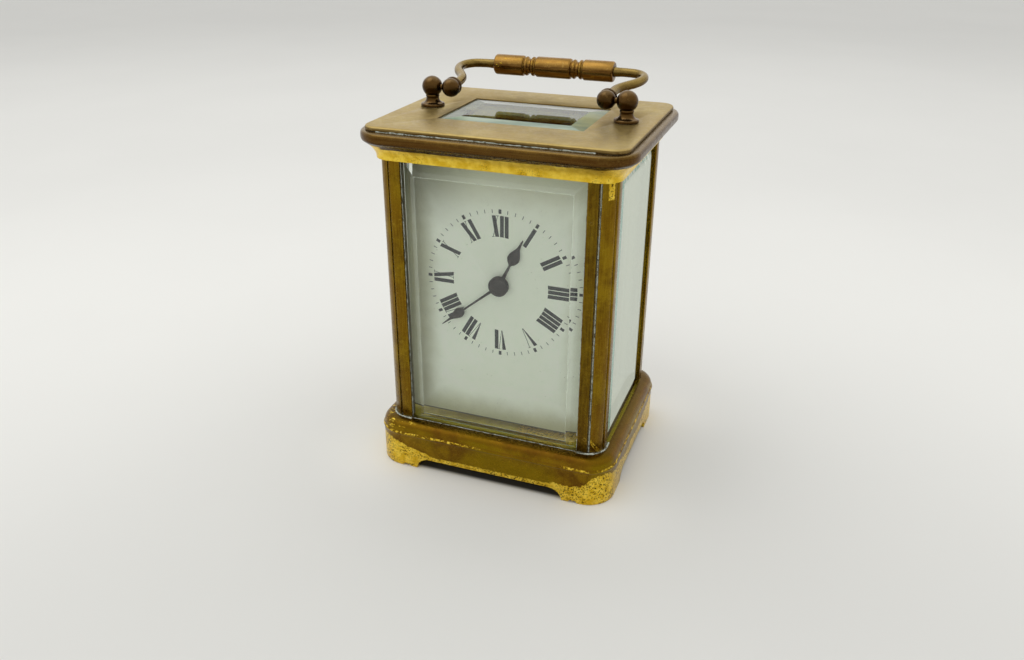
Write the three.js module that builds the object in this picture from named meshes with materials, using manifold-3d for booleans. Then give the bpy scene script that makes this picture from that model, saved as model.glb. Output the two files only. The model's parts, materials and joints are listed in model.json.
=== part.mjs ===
// Carriage clock: corniche case, timepiece movement, platform lever escapement.
// Units: millimetres. +X to the right seen from the dial side, +Y from dial to rear door, +Z up.
// Origin: centre of the footprint, on the plane the feet stand on.
import * as THREE from "three";
import { mergeVertices } from "three/addons/utils/BufferGeometryUtils.js";
import Module from "manifold-3d";

// ---------------------------------------------------------------- case dimensions
const CASE_W = 70; // pillar envelope, across the dial
const CASE_D = 58; // pillar envelope, front to back
const CORNER_R = 4.6; // corner radius the mouldings are offset from
const CORNER_STEPS = 4;
const BASE_TOP = 16; // pillars stand here
const FLOOR_BED = 13.1; // ledge in the base under the floor plate
const PILLAR_TOP = 100.8; // underside of the cornice
const PLATE_Z0 = 108.95; // top plate
const PLATE_Z1 = 110.3;
const WINDOW_X = 22; // top window half sizes
const WINDOW_Y = 15;
const CORNERS = [["front_left", -1, -1], ["front_right", 1, -1], ["rear_left", -1, 1],
  ["rear_right", 1, 1]]; // name, x side, y side
const SIDES = [["left", -1], ["right", 1]];
const SCREW_X = 31; // case screws, up through the base into the pillars
const SCREW_Y = 25;
const PILLAR_OUT = 0.35; // the pillars stand this far outside the envelope, across the dial
const PILLAR_SX = 7.65; // pillar section, across the dial
const PILLAR_SY = 7.3; // pillar section, front to back
const OUTER_X = CASE_W / 2 + PILLAR_OUT; // outside faces of the pillars
const OUTER_Y = CASE_D / 2;

// glasses and the slots that hold them; slot depths are measured in from the pillar faces
const SLOT_IN = 0.8; // strip thickness in front of the glass
const SLOT_OUT = 3.4;
const SLOT_BED = 5.0;
const SLOT_EASE = 0.05; // the slots in base and cornice are this much wider each side
const GLASS_T = 2.4;
const GLASS_GAP = 0.1; // glass face to strip
const GLASS_END_GAP = 0.2;
const GLASS_Z = [13.2, 101.4];
const CASE_BEVEL = { bevel: 5.2, depth: 1.7 };

const DOOR_Z0 = 16.4;
const DOOR_Z1 = 100.4;
const DOOR_PIVOT = [25.9, 26.3]; // x and y
const DOOR_HALF_T = 1.6;
const KNOB_X = -25.3;
const KNOB_Z = 58.4;

const PIVOT_Z = 116.15; // handle pivot axis
const POST_X = 30.2;
const ARM_X = 24.05;
const HANDLE_R = 26.2; // pivot axis to grip axis
const HANDLE_REST = 7; // degrees above the horizontal, folded to the rear

// ---------------------------------------------------------------- movement dimensions
// The movement, dial and hands are drawn about their own datum, then shifted.
const MOVEMENT_SHIFT = [0, 2.9, -0.5];
const FRONT_PLATE = [-18, -16.4]; // y of the movement plates
const BACK_PLATE = [12, 13.6];
const PLATFORM_Z = [91.2, 92.8];
const RUNNING_GAP = 0.2; // hole clearance on radius
const PIVOT_R = 0.6;
const CENTRE_R = 1.4; // hollow centre arbor
const CENTRE_BORE = 0.95;
// arbors, x and z
const CENTRE = [0, 64.5];
const BARREL = [-8, 38];
const INTERMEDIATE = [9.58, 52];
const THIRD = [-12.6, 71.5];
const CONTRATE = [-1, 79];
const MINUTE = [5.66, 58.84];
const CLICK = [5.2, 45.2];
const CLICK_NOSE = [BARREL[0] + 4.1, BARREL[1] + 5.95];
// upright arbors of the platform, x and y
const ESCAPE_Y = 0.55;
const ESCAPE = [CONTRATE[0], ESCAPE_Y];
const LEVER = [5.2, ESCAPE_Y];
const BALANCE = [10.7, ESCAPE_Y];
const TEETH = {
  barrel: 56, intermediatePinion: 7, intermediate: 42, centrePinion: 7, centre: 56,
  thirdPinion: 7, third: 45, contratePinion: 6, contrate: 48, escapePinion: 6,
  cannon: 8, minute: 24, minutePinion: 7, hour: 28, ratchet: 24, escape: 15,
};
const DIAL_Y = -23.2; // front surface of the dial
const HOUR_DEG = 25.4; // hands at rest, clockwise from XII
const MINUTE_DEG = 230.8;

const MATERIALS = {
  case_brass: { color: 0x8a6a2c, roughness: 0.42, metalness: 0.95 },
  bright_brass: { color: 0xb8903f, roughness: 0.3, metalness: 0.95 },
  movement_brass: { color: 0xb89a55, roughness: 0.35, metalness: 0.9 },
  steel: { color: 0x6f7378, roughness: 0.3, metalness: 0.95 },
  blued: { color: 0x24242a, roughness: 0.35, metalness: 0.8 },
  glass: { color: 0xcfe3dc, roughness: 0.03, metalness: 0, transparent: true, opacity: 0.35 },
  enamel: { color: 0xd9ddd2, roughness: 0.2, metalness: 0 },
};

const wasm = await Module();
wasm.setup();
const clock = new THREE.Group();
const TAU = Math.PI * 2;
const rad = THREE.MathUtils.degToRad;

// ---------------------------------------------------------------- solids and meshes
// closed three.js geometry to a manifold, turned right side out if need be
function solid(geometry) {
  const source = geometry.index ? geometry.toNonIndexed() : geometry;
  const bare = new THREE.BufferGeometry();
  bare.setAttribute("position", source.getAttribute("position"));
  const merged = mergeVertices(bare, 1e-4);
  const corners = merged.index.array;
  const index = [];
  for (let i = 0; i < corners.length; i += 3) {
    const [a, b, c] = corners.subarray(i, i + 3);
    if (a !== b && b !== c && a !== c) index.push(a, b, c);
  }
  const make = () => new wasm.Manifold(new wasm.Mesh({
    numProp: 3,
    vertProperties: merged.attributes.position.array,
    triVerts: new Uint32Array(index),
  }));
  const made = make();
  if (made.volume() >= 0) return made;
  for (let i = 0; i < index.length; i += 3) {
    [index[i + 1], index[i + 2]] = [index[i + 2], index[i + 1]];
  }
  return make();
}
function indexed(positions, index) {
  const geometry = new THREE.BufferGeometry();
  geometry.setAttribute("position", new THREE.BufferAttribute(new Float32Array(positions), 3));
  return geometry.setIndex(index);
}
function geometryOf(piece) {
  const { numProp, numVert, vertProperties, triVerts } = piece.getMesh();
  const positions = new Float32Array(numVert * 3);
  for (let i = 0; i < numVert; i++) {
    positions.set(vertProperties.subarray(i * numProp, i * numProp + 3), i * 3);
  }
  return indexed(positions, new THREE.BufferAttribute(new Uint32Array(triVerts), 1));
}
function addGeometry(name, geometry, kind, at = [0, 0, 0]) {
  const mesh = new THREE.Mesh(geometry, new THREE.MeshStandardMaterial(MATERIALS[kind]));
  mesh.name = name;
  mesh.position.set(...at);
  clock.add(mesh);
}
const add = (name, piece, kind, at) => addGeometry(name, geometryOf(piece), kind, at);
const addMovement = (name, piece, kind) =>
  addGeometry(name, geometryOf(piece).translate(...MOVEMENT_SHIFT), kind);
// handle pieces are drawn flat, then lifted to rest
const addHandle = (name, piece) => addGeometry(
  name, geometryOf(piece).rotateX(rad(HANDLE_REST)).translate(0, 0, PIVOT_Z), "case_brass");
const join = (first, ...rest) => rest.reduce((sum, piece) => sum.add(piece), first);
const cut = (first, ...rest) => rest.reduce((left, piece) => left.subtract(piece), first);

// ---------------------------------------------------------------- outlines
const series = (count, make) => Array.from({ length: count }, (_, i) => make(i));
const polar = (radius, angle, [x, y] = [0, 0]) =>
  [x + radius * Math.cos(angle), y + radius * Math.sin(angle)];
const circle = (radius, sides, centre) =>
  series(sides, (i) => polar(radius, (i * TAU) / sides, centre));
// closes a half outline with its mirror image: left to right, or top to bottom
const mirrorX = (half) => [...half, ...half.map(([x, y]) => [-x, y]).reverse()];
const mirrorY = (half) => [...half, ...half.map(([x, y]) => [x, -y]).reverse()];
// repeats one tooth of [radius, angle] points around a centre
function ring(count, tooth, centre, phase = 0) {
  return series(count, (k) => tooth.map(([radius, offset]) =>
    polar(radius, phase + (k * TAU) / count + offset, centre))).flat();
}
// flat spiral strip of the given half thickness; the radius changes by growth in all
function spiral({ centre, radius, growth, turns, half, steps }) {
  const edge = (offset) => series(steps + 1, (k) =>
    polar(radius + (growth * k) / steps + offset, (k / steps) * turns * TAU, centre));
  return [...edge(half), ...edge(-half).reverse()];
}

// ---------------------------------------------------------------- basic solids
const vectors = (points) => points.map(([x, y]) => new THREE.Vector2(x, y));
function extruded(points, depth, holes = []) {
  const shape = new THREE.Shape(vectors(points));
  shape.holes = holes.map((hole) => new THREE.Path(vectors(hole)));
  return new THREE.ExtrudeGeometry(shape, { depth, bevelEnabled: false });
}
// prisms along z from points in x and y, and along y from points in x and z
const prismZ = (points, from, to, holes) =>
  solid(extruded(points, to - from, holes).translate(0, 0, from));
const prismY = (points, from, to, holes) =>
  solid(extruded(points, to - from, holes).rotateX(Math.PI / 2).translate(0, to, 0));
function box([x0, x1], [y0, y1], [z0, z1]) {
  const geometry = new THREE.BoxGeometry(x1 - x0, y1 - y0, z1 - z0);
  return solid(geometry.translate((x0 + x1) / 2, (y0 + y1) / 2, (z0 + z1) / 2));
}
// box centred on the z axis
const block = (halfX, halfY, from, to) => box([-halfX, halfX], [-halfY, halfY], [from, to]);
// cylinders along each axis; the pair is the centre of the section
const cylinder = (radius, from, to, sides) =>
  new THREE.CylinderGeometry(radius, radius, Math.abs(to - from), sides);
const rodZ = (radius, from, to, [x, y], sides = 12) => solid(
  cylinder(radius, from, to, sides).rotateX(Math.PI / 2).translate(x, y, (from + to) / 2));
const rodY = (radius, from, to, [x, z], sides = 12) =>
  solid(cylinder(radius, from, to, sides).translate(x, (from + to) / 2, z));
const rodX = (radius, from, to, [y, z], sides = 12) => solid(
  cylinder(radius, from, to, sides).rotateZ(Math.PI / 2).translate((from + to) / 2, y, z));
// turned piece: profile of [radius, height along the axis]
function turned(profile, sides, axis, at) {
  const geometry = new THREE.LatheGeometry(vectors(profile), sides);
  if (axis === "z") geometry.rotateX(Math.PI / 2);
  if (axis === "x") geometry.rotateZ(-Math.PI / 2);
  return solid(geometry.translate(...at));
}
// ball as part of a turned profile, between two latitudes in degrees
const ballProfile = (radius, height, from, to, steps) => series(steps + 1, (k) => {
  const [across, up] = polar(radius, rad(from + ((to - from) * k) / steps));
  return [Math.max(0, across), height + up];
});
function roundRect(width, depth, radius) {
  return [[1, 1, 0], [-1, 1, 90], [-1, -1, 180], [1, -1, 270]].flatMap(([sx, sy, start]) =>
    series(CORNER_STEPS + 1, (k) => polar(radius, rad(start + (90 * k) / CORNER_STEPS),
      [sx * (width / 2 - radius), sy * (depth / 2 - radius)])));
}
// solid moulding: stacked rounded rectangles, profile of [offset from the envelope, height]
function moulding(profile, wider = 0, tighter = 0) {
  const rings = profile.map(([offset, z]) => roundRect(
    CASE_W + 2 * (offset + wider), CASE_D + 2 * offset, CORNER_R + offset - tighter,
  ).map(([x, y]) => [x, y, z]));
  const count = rings[0].length;
  const top = (rings.length - 1) * count;
  const index = [];
  for (let start = 0; start < top; start += count) {
    for (let i = 0; i < count; i++) {
      const a = start + i;
      const b = start + ((i + 1) % count);
      index.push(a, b, b + count, a, b + count, a + count);
    }
  }
  for (let i = 1; i + 1 < count; i++) index.push(0, i + 1, i, top, top + i, top + i + 1);
  return solid(indexed(rings.flat(2), index));
}
// glass plate standing across y, bevelled all round on its low y face
function bevelled({ half, z: [z0, z1], y: [front, back], bevel, depth }) {
  const corners = (y, inset) => [
    [-half + inset, y, z0 + inset], [half - inset, y, z0 + inset],
    [half - inset, y, z1 - inset], [-half + inset, y, z1 - inset],
  ];
  const rings = [corners(back, 0), corners(front + depth, 0), corners(front, bevel)];
  const index = [];
  const quad = (a, b, c, d) => index.push(a, b, c, a, c, d);
  quad(3, 2, 1, 0);
  for (let i = 0; i < 4; i++) {
    const next = (i + 1) % 4;
    quad(i, next, 4 + next, 4 + i);
    quad(4 + i, 4 + next, 8 + next, 8 + i);
  }
  quad(8, 9, 10, 11);
  return indexed(rings.flat(2), index);
}

// ---------------------------------------------------------------- base
const BASE_PROFILE = [
  [4.0, 0], [4.2, 0.4], [4.2, 11.5], [4.45, 11.9], [4.45, 12.4], [3.7, 13.4], [2.5, 14.8],
  [0.7, BASE_TOP],
];
const NOTCH_X = 28.2;
const NOTCH = mirrorX([[1.7, -1], [1.6, 0.1], [0.8, 0.9]]); // x and z
// cut-out between two feet: across and height, with rounded upper corners
function footArch(half) {
  const height = 3.9;
  const radius = 4.4;
  const corner = series(4, (k) => {
    const angle = rad(90 * (k / 3));
    return [half - radius * (1 - Math.cos(angle)), height * Math.sin(angle)];
  });
  return mirrorX([[half, -1], ...corner]);
}
// slots for the front glass and the two side glasses
function glassSlots(from, to) {
  const outer = SLOT_IN - SLOT_EASE;
  const inner = SLOT_OUT + SLOT_EASE;
  const sideY = OUTER_Y - SLOT_BED;
  const heights = [from, to];
  return [
    box([-29.7, 29.7], [outer - OUTER_Y, inner - OUTER_Y], heights),
    box([outer - OUTER_X, inner - OUTER_X], [-sideY, sideY], heights),
    box([OUTER_X - inner, OUTER_X - outer], [-sideY, sideY], heights),
  ];
}
function baseMoulding() {
  const sideArch = extruded(footArch(17.4), 90).rotateX(Math.PI / 2).rotateZ(Math.PI / 2);
  let base = cut(
    moulding(BASE_PROFILE),
    block(26, 20, -1, FLOOR_BED),
    box([-29, 29], [-25.7, 23], [FLOOR_BED, 17]),
    ...glassSlots(GLASS_Z[0] - GLASS_END_GAP, 17),
    prismY(footArch(24.6), -40, 40),
    solid(sideArch.translate(-45, 0, 0)),
    rodZ(1.25, 15, 17, DOOR_PIVOT),
  );
  for (const side of [1, -1]) {
    base = cut(base, prismY(NOTCH.map(([x, z]) => [x + side * NOTCH_X, z]), -40, 40));
  }
  for (const [, sx, sy] of CORNERS) {
    const at = [sx * SCREW_X, sy * SCREW_Y];
    base = cut(base, rodZ(1.5, -1, 17, at, 8), rodZ(3.0, -1, 6, at, 10));
  }
  add("base_moulding", base, "case_brass");
}
function caseScrews() {
  for (const [corner, sx, sy] of CORNERS) {
    const head = rodZ(2.5, 4, 5.9, [0, 0], 10);
    const shank = rodZ(1.15, 5.5, 24, [0, 0], 8);
    const screw = cut(join(head, shank), block(3, 0.35, 3.5, 4.7));
    add("case_screw_" + corner, screw, "steel", [sx * SCREW_X, sy * SCREW_Y, 0]);
  }
}
function floorPlate() {
  const plate = box([-28.7, 28.7], [-25.3, 22.7], [13.3, 15.4]);
  const holes = [-18, 18].map((x) => rodZ(1.6, 12, 17, [x, -2], 10));
  add("floor_plate", cut(plate, ...holes), "case_brass");
}

// ---------------------------------------------------------------- pillars
// section as depths in from the outer x and y faces: quarter column between two flat strips
function pillarSection(rear) {
  const radiusX = 5.8;
  const radiusY = 5.4;
  const start = Math.asin((radiusX - 3.65) / radiusX);
  const end = Math.acos((radiusY - 3.3) / radiusY);
  const column = series(7, (k) => {
    const angle = start + ((end - start) * k) / 6;
    return [radiusX - radiusX * Math.sin(angle), radiusY - radiusY * Math.cos(angle)];
  });
  const frontSlotBed = SLOT_BED + PILLAR_OUT;
  const frontSlot = [
    [PILLAR_SX, SLOT_OUT], [frontSlotBed, SLOT_OUT], [frontSlotBed, SLOT_IN],
    [PILLAR_SX, SLOT_IN],
  ];
  return [
    [PILLAR_SX, 0], [4.45, 0], [4.45, 1.0], [3.65, 1.0],
    ...column,
    [1.0, 3.3], [1.0, 4.1], [0, 4.1], [0, PILLAR_SY],
    [SLOT_IN, PILLAR_SY], [SLOT_IN, SLOT_BED], [SLOT_OUT, SLOT_BED], [SLOT_OUT, PILLAR_SY],
    [5.3, PILLAR_SY], [5.3, 5.3], [PILLAR_SX, 5.3],
    ...(rear ? [] : frontSlot),
  ];
}
function casePillars() {
  const gap = 0.02; // at each end
  for (const [corner, sx, sy] of CORNERS) {
    const outline = pillarSection(sy > 0).map(([inX, inY]) =>
      [sx * (OUTER_X - inX), sy * (OUTER_Y - inY)]);
    const screwHole = rodZ(1.45, BASE_TOP - 1, 24.5, [sx * SCREW_X, sy * SCREW_Y], 8);
    const pillar = cut(prismZ(outline, BASE_TOP + gap, PILLAR_TOP - gap), screwHole);
    add("pillar_" + corner, pillar, "case_brass");
  }
}

// ---------------------------------------------------------------- front and side glasses
function caseGlasses() {
  const pane = (half, outerFace) => {
    const front = -(outerFace - SLOT_IN - GLASS_GAP);
    return bevelled({ half, z: GLASS_Z, y: [front, front + GLASS_T], ...CASE_BEVEL });
  };
  add("front_glass", solid(pane(28.9, OUTER_Y)), "glass");
  for (const [side, sx] of SIDES) {
    add(side + "_glass", solid(pane(23.5, OUTER_X).rotateZ((sx * Math.PI) / 2)), "glass");
  }
}

// ---------------------------------------------------------------- cornice and top
const CORNICE_PROFILE = [
  [1.3, PILLAR_TOP], [1.35, 101.4], [1.75, 102.5], [2.5, 103.7], [3.4, 104.6], [3.7, 105.1],
  [4.6, 105.6], [5.2, 106.1], [5.5, 106.9], [5.5, 107.7], [5.15, 108.4], [4.4, 108.9],
];
const PLATE_PROFILE = [
  [2.35, PLATE_Z0], [2.45, 109.3], [2.4, 109.8], [2.15, 110.15], [1.7, PLATE_Z1],
];
function cornice() {
  add("cornice", cut(
    moulding(CORNICE_PROFILE),
    block(28.5, 22.5, 100, 104),
    block(33.8, 23.5, 103, 110),
    ...glassSlots(100, GLASS_Z[1] + GLASS_END_GAP),
    rodZ(1.25, 100, 102.2, DOOR_PIVOT),
  ), "case_brass");
}
function topPlate() {
  const rebate = 2.6;
  add("top_plate", cut(
    moulding(PLATE_PROFILE, 1.0, 2.4),
    block(WINDOW_X, WINDOW_Y, 108, 112),
    block(WINDOW_X + rebate, WINDOW_Y + rebate, 108, 109.65),
    rodZ(1.5, 108, 112, [POST_X, 0]),
    rodZ(1.5, 108, 112, [-POST_X, 0]),
  ), "case_brass");
}
function topGlass() {
  // drawn standing, then laid down with the bevel up
  const pane = bevelled({
    half: 24.2, z: [-17.2, 17.2], y: [-110.2, -107.45], bevel: 6.4, depth: 1.15,
  });
  add("top_glass", solid(pane.rotateX(-Math.PI / 2)), "glass");
  add("top_glass_retainer", cut(
    block(25.6, 18.6, 106.3, 108.8),
    block(24.5, 17.5, 107.3, 110),
    block(WINDOW_X, WINDOW_Y, 106, 108),
  ), "case_brass");
}

// ---------------------------------------------------------------- handle
const POST_SEAT = PLATE_Z1 + 0.03;
const POST_PROFILE = [ // radius, z
  [0, 104.6], [1.2, 104.6], [1.2, POST_SEAT], [3.45, POST_SEAT], [3.6, 110.7], [3.55, 111.2],
  [2.9, 111.5], [2.2, 112.05], [1.95, 112.9], ...ballProfile(3.1, PIVOT_Z, -50, 90, 7),
];
const ARM_PATH = [ // x and y of the right arm, pivot to grip
  [ARM_X, 0], [24.1, 3.0], [24.1, 6.6], [24.6, 10.0], [26.3, 13.2], [28.5, 16.4],
  [29.8, 20.0], [29.4, 23.2], [27.1, 25.55], [23.4, 26.3], [17.2, HANDLE_R],
];
const GRIP_HALF = [ // radius, x of the left half
  [0, -19.55], [2.75, -19.55], [3.15, -19.1], [3.15, -9.8], [2.5, -9.7], [2.9, -9.2],
  [2.9, -8.6], [2.45, -8.0], [2.45, -7.7], [2.9, -7.1], [2.9, -6.5], [2.5, -5.9],
  [3.15, -5.2],
];
function handlePost([side, sx]) {
  const at = [sx * POST_X, 0];
  const spigot = rodX(0.85, sx * 25.2, sx * 29, [0, PIVOT_Z], 10);
  const post = join(turned(POST_PROFILE, 14, "z", [...at, 0]), spigot);
  add("handle_post_" + side, post, "case_brass");
  const nut = cut(rodZ(2.3, 106.4, 108.7, at, 6), rodZ(1.4, 105, 110, at));
  add("handle_post_nut_" + side, nut, "case_brass");
}
function handleArm([side, sx]) {
  const points = ARM_PATH.map(([x, y]) => new THREE.Vector3(sx * x, y, 0));
  const extrudePath = new THREE.CatmullRomCurve3(points, false, "centripetal");
  const section = new THREE.Shape(vectors(circle(1.35, 8)));
  const options = { steps: 12, bevelEnabled: false, extrudePath };
  const arm = join(
    solid(new THREE.ExtrudeGeometry(section, options)),
    turned(ballProfile(2.78, 0, -90, 90, 6), 12, "z", [sx * ARM_X, 0, 0]),
    rodY(2.7, 1.45, 2.35, [sx * ARM_X, 0]), // collar beside the ball
  );
  addHandle("handle_arm_" + side, cut(arm, rodX(1.05, sx * 24.9, sx * 28, [0, 0])));
}
function handleGrip() {
  const grip = turned(mirrorY(GRIP_HALF), 12, "x", [0, HANDLE_R, 0]);
  const bores = [-1, 1].map((sx) => rodX(1.65, sx * 16.9, sx * 21, [HANDLE_R, 0], 10));
  addHandle("handle_grip", cut(grip, ...bores));
}

// ---------------------------------------------------------------- rear door
const KNOB_PROFILE = [ // radius, y from the middle of the frame
  [0, -1.4], [0.7, -1.4], [0.7, 1.65], [1.5, 1.65], [1.5, 2.1], [0.9, 2.5], [1.8, 3.3],
  [2.0, 4.1], [1.5, 5.1], [0, 5.4],
];
function rearDoor() {
  const pivotY = DOOR_PIVOT[1];
  const edge = series(7, (k) => polar(DOOR_HALF_T, rad(-90 + 30 * k), DOOR_PIVOT));
  const outline = [[-27.4, pivotY - DOOR_HALF_T], ...edge, [-27.4, pivotY + DOOR_HALF_T]];
  add("rear_door_frame", cut(
    prismZ(outline, DOOR_Z0, DOOR_Z1),
    box([-22.6, 22.0], [20, 30], [21.2, 95.6]), // window
    box([-24.4, 23.8], [24, 26.9], [19.4, 97.4]), // glass rebate
    rodZ(1.1, DOOR_Z0 - 1, DOOR_Z0 + 3.2, DOOR_PIVOT),
    rodZ(1.1, DOOR_Z1 - 3.2, DOOR_Z1 + 1, DOOR_PIVOT),
    rodY(0.9, 24, 30, [KNOB_X, KNOB_Z], 10),
  ), "case_brass");
  // turned round so the bevel faces the rear
  const pane = bevelled({
    half: 23.8, z: [19.7, 97.1], y: [-26.8, -24.75], bevel: 4.2, depth: 0.9,
  });
  add("rear_door_glass", solid(pane.rotateZ(Math.PI).translate(-0.3, 0, 0)), "glass");
  const knob = turned(KNOB_PROFILE, 12, "y", [KNOB_X, pivotY, KNOB_Z]);
  add("rear_door_knob", knob, "case_brass");
  add("door_pivot_pin_bottom", rodZ(0.9, 15.2, DOOR_Z0 + 3, DOOR_PIVOT), "steel");
  add("door_pivot_pin_top", rodZ(0.9, DOOR_Z1 - 3, 102, DOOR_PIVOT), "steel");
}

// ---------------------------------------------------------------- gears
// tooth forms, in modules: tip and root are tooth widths
const WHEEL = { addendum: 0.95, dedendum: 1.2, tip: 0.5, root: 1.9 };
const LEAF = { addendum: 0.75, dedendum: 1.3, tip: 0.6, root: 1.15 };
const ESCAPE_LEAF = { addendum: 0.7, dedendum: 1.25, tip: 0.45, root: 0.8 };
const angleTo = (from, to) => Math.atan2(to[1] - from[1], to[0] - from[0]);
const gapPhase = (count, angle) => angle + Math.PI / count; // a gap faces this angle
// gear module that makes two wheels mesh at the distance between their arbors
const moduleFor = (first, second, teethSum) =>
  Math.hypot(first[0] - second[0], first[1] - second[1]) / (teethSum / 2);
const MODULE = {
  barrel: moduleFor(INTERMEDIATE, BARREL, TEETH.barrel + TEETH.intermediatePinion),
  intermediate: moduleFor(INTERMEDIATE, CENTRE, TEETH.intermediate + TEETH.centrePinion),
  centre: moduleFor(THIRD, CENTRE, TEETH.centre + TEETH.thirdPinion),
  third: moduleFor(CONTRATE, THIRD, TEETH.third + TEETH.contratePinion),
  minute: moduleFor(MINUTE, CENTRE, TEETH.minute + TEETH.cannon),
  hour: moduleFor(MINUTE, CENTRE, TEETH.hour + TEETH.minutePinion),
  escape: (2 * 9.02) / TEETH.contrate,
};
// straight-flanked tooth outline
function gearOutline(count, module, form, phase, centre) {
  const pitch = (count * module) / 2;
  const outer = pitch + form.addendum * module;
  const inner = pitch - form.dedendum * module;
  const tip = (form.tip * module) / 2 / outer;
  const root = (form.root * module) / 2 / inner;
  const tooth = [[inner, -root], [outer, -tip], [outer, tip], [inner, root]];
  return ring(count, tooth, centre, phase);
}
// windows between the arms of a wheel; hub and rim are radii, half is half an arm's width
function crossings(centre, { hub, rim, arms, half, start = 0.3, steps = 3 }) {
  return series(arms, (k) => {
    const point = (radius, fraction) => {
      const margin = half / radius;
      const sweep = TAU / arms - 2 * margin;
      return polar(radius, start + (k * TAU) / arms + margin + sweep * fraction, centre);
    };
    return [...series(steps + 1, (i) => point(rim, i / steps)), point(hub, 1), point(hub, 0)];
  });
}
// a wheel turns a tooth, and a pinion a gap, towards the arbor of its mate
function wheelY(count, module, at, mate, from, to, arms) {
  const outline = gearOutline(count, module, WHEEL, angleTo(at, mate), at);
  return prismY(outline, from, to, arms ? crossings(at, arms) : []);
}
function pinionY(count, module, at, mate, from, to) {
  const phase = gapPhase(count, angleTo(at, mate));
  return prismY(gearOutline(count, module, LEAF, phase, at), from, to);
}
// train arbor with a thinner pivot rod running through it into both plates
const arborY = (radius, from, at) => [
  rodY(radius, from, 10.6, at, 8),
  rodY(PIVOT_R, FRONT_PLATE[0] + 0.1, BACK_PLATE[1] - 0.2, at, 8),
];

// ---------------------------------------------------------------- movement frame
const FRAME_PILLARS = [ // name, x and z
  ["lower_left", [-24, 19.6]], ["lower_right", [24, 19.6]],
  ["upper_left", [-24, 87.4]], ["upper_right", [24, 87.4]],
];
const FRAME_PILLAR_PROFILE = [ // radius, y
  [0, -18.9], [1.0, -18.9], [1.0, -16.36], [2.3, -16.36], [2.4, -15.4], [1.7, -14.4],
  [1.6, 10], [2.4, 11.0], [2.3, 11.96], [1.0, 11.96], [1.0, 14.5], [0, 14.5],
];
function movementPlates() {
  const outline = [[-27, 16.1], [27, 16.1], [27, 91.1], [-27, 91.1]];
  const shared = [ // centre and radius of what each hole takes
    ...FRAME_PILLARS.map(([, at]) => [at, 1.1]),
    [CENTRE, CENTRE_R], [INTERMEDIATE, PIVOT_R], [THIRD, PIVOT_R], [CONTRATE, PIVOT_R],
  ];
  const plate = (name, [from, to], holes) => {
    const circles = [...shared, ...holes].map(([at, radius]) =>
      circle(radius + RUNNING_GAP, radius > 1.2 ? 12 : 8, at));
    addMovement(name, prismY(outline, from, to, circles), "movement_brass");
  };
  plate("front_plate", FRONT_PLATE, [[BARREL, 1.6], [MINUTE, PIVOT_R]]);
  plate("back_plate", BACK_PLATE, [[BARREL, 2.4], [CLICK, PIVOT_R + 0.2]]);
}
function movementPillars() {
  for (const [name, [x, z]] of FRAME_PILLARS) {
    const pillar = turned(FRAME_PILLAR_PROFILE, 8, "y", [x, 0, z]);
    addMovement("movement_pillar_" + name, pillar, "movement_brass");
  }
}

// ---------------------------------------------------------------- barrel, spring, click
const BARREL_ARBOR_PROFILE = [ // radius, y: front pivot, core, back pivot, ratchet seat
  [0, -18.4], [1.6, -18.4], [1.6, -10.9], [2.4, -10.7], [2.4, -7.9], [4.4, -7.9], [4.4, 7.6],
  [2.4, 7.6], [2.4, 14.0], [1.95, 14.0], [1.95, 16.4], [0, 16.4],
];
function barrel() {
  const arborHole = rodY(2.8, -12, 12, BARREL);
  const drum = join(
    wheelY(TEETH.barrel, MODULE.barrel, BARREL, INTERMEDIATE, -10.4, -8.4),
    rodY(18.4, -9, 9.2, BARREL, 28),
  );
  addMovement(
    "barrel_drum", cut(drum, rodY(17.2, -8.2, 10, BARREL, 28), arborHole), "movement_brass");
  const cap = join(
    rodY(16.9, 8.0, 9.2, BARREL, 28),
    rodY(18.3, 9.3, 10.1, BARREL, 28),
    rodY(15, 9.1, 9.4, BARREL), // ties the two discs
  );
  addMovement("barrel_cap", cut(cap, arborHole), "movement_brass");
}
function barrelArbor() {
  const [x, z] = BARREL;
  const half = 1.35; // winding square
  addMovement("barrel_arbor", join(
    turned(BARREL_ARBOR_PROFILE, 16, "y", [x, 0, z]),
    box([x - half, x + half], [16, 21.0], [z - half, z + half]),
  ), "steel");
}
function mainspring() {
  const coil = { centre: BARREL, radius: 16.6, growth: -11, turns: 5.5, half: 0.28, steps: 60 };
  addMovement("mainspring", prismY(spiral(coil), -7.2, 7.0), "steel");
}
function ratchetWheel() {
  const outline = ring(TEETH.ratchet, [[5.6, 0], [6.9, 0.02]], BARREL);
  addMovement("ratchet_wheel", prismY(outline, 14.1, 15.6, [circle(2.1, 12, BARREL)]), "steel");
}
function click() {
  // outline from the pivot: distance towards the nose, distance across
  const reach = Math.hypot(CLICK_NOSE[0] - CLICK[0], CLICK_NOSE[1] - CLICK[1]);
  const angle = angleTo(CLICK, CLICK_NOSE);
  const outline = [
    [-2.4, 0], [-1.7, 1.7], [0, 2.4], [1.8, 1.9], [reach - 2, 0.9], [reach, 0.25],
    [reach, -0.4], [reach - 2.2, -0.9], [1.8, -1.9], [0, -2.4], [-1.7, -1.7],
  ].map(([along, across]) =>
    polar(across, angle + Math.PI / 2, polar(along, angle, CLICK)));
  addMovement("click", join(
    prismY(outline, 14.1, 15.5),
    rodY(0.6, 12.2, 15.9, CLICK),
    rodY(1.5, 15.4, 16.1, CLICK),
  ), "steel");
}

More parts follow.
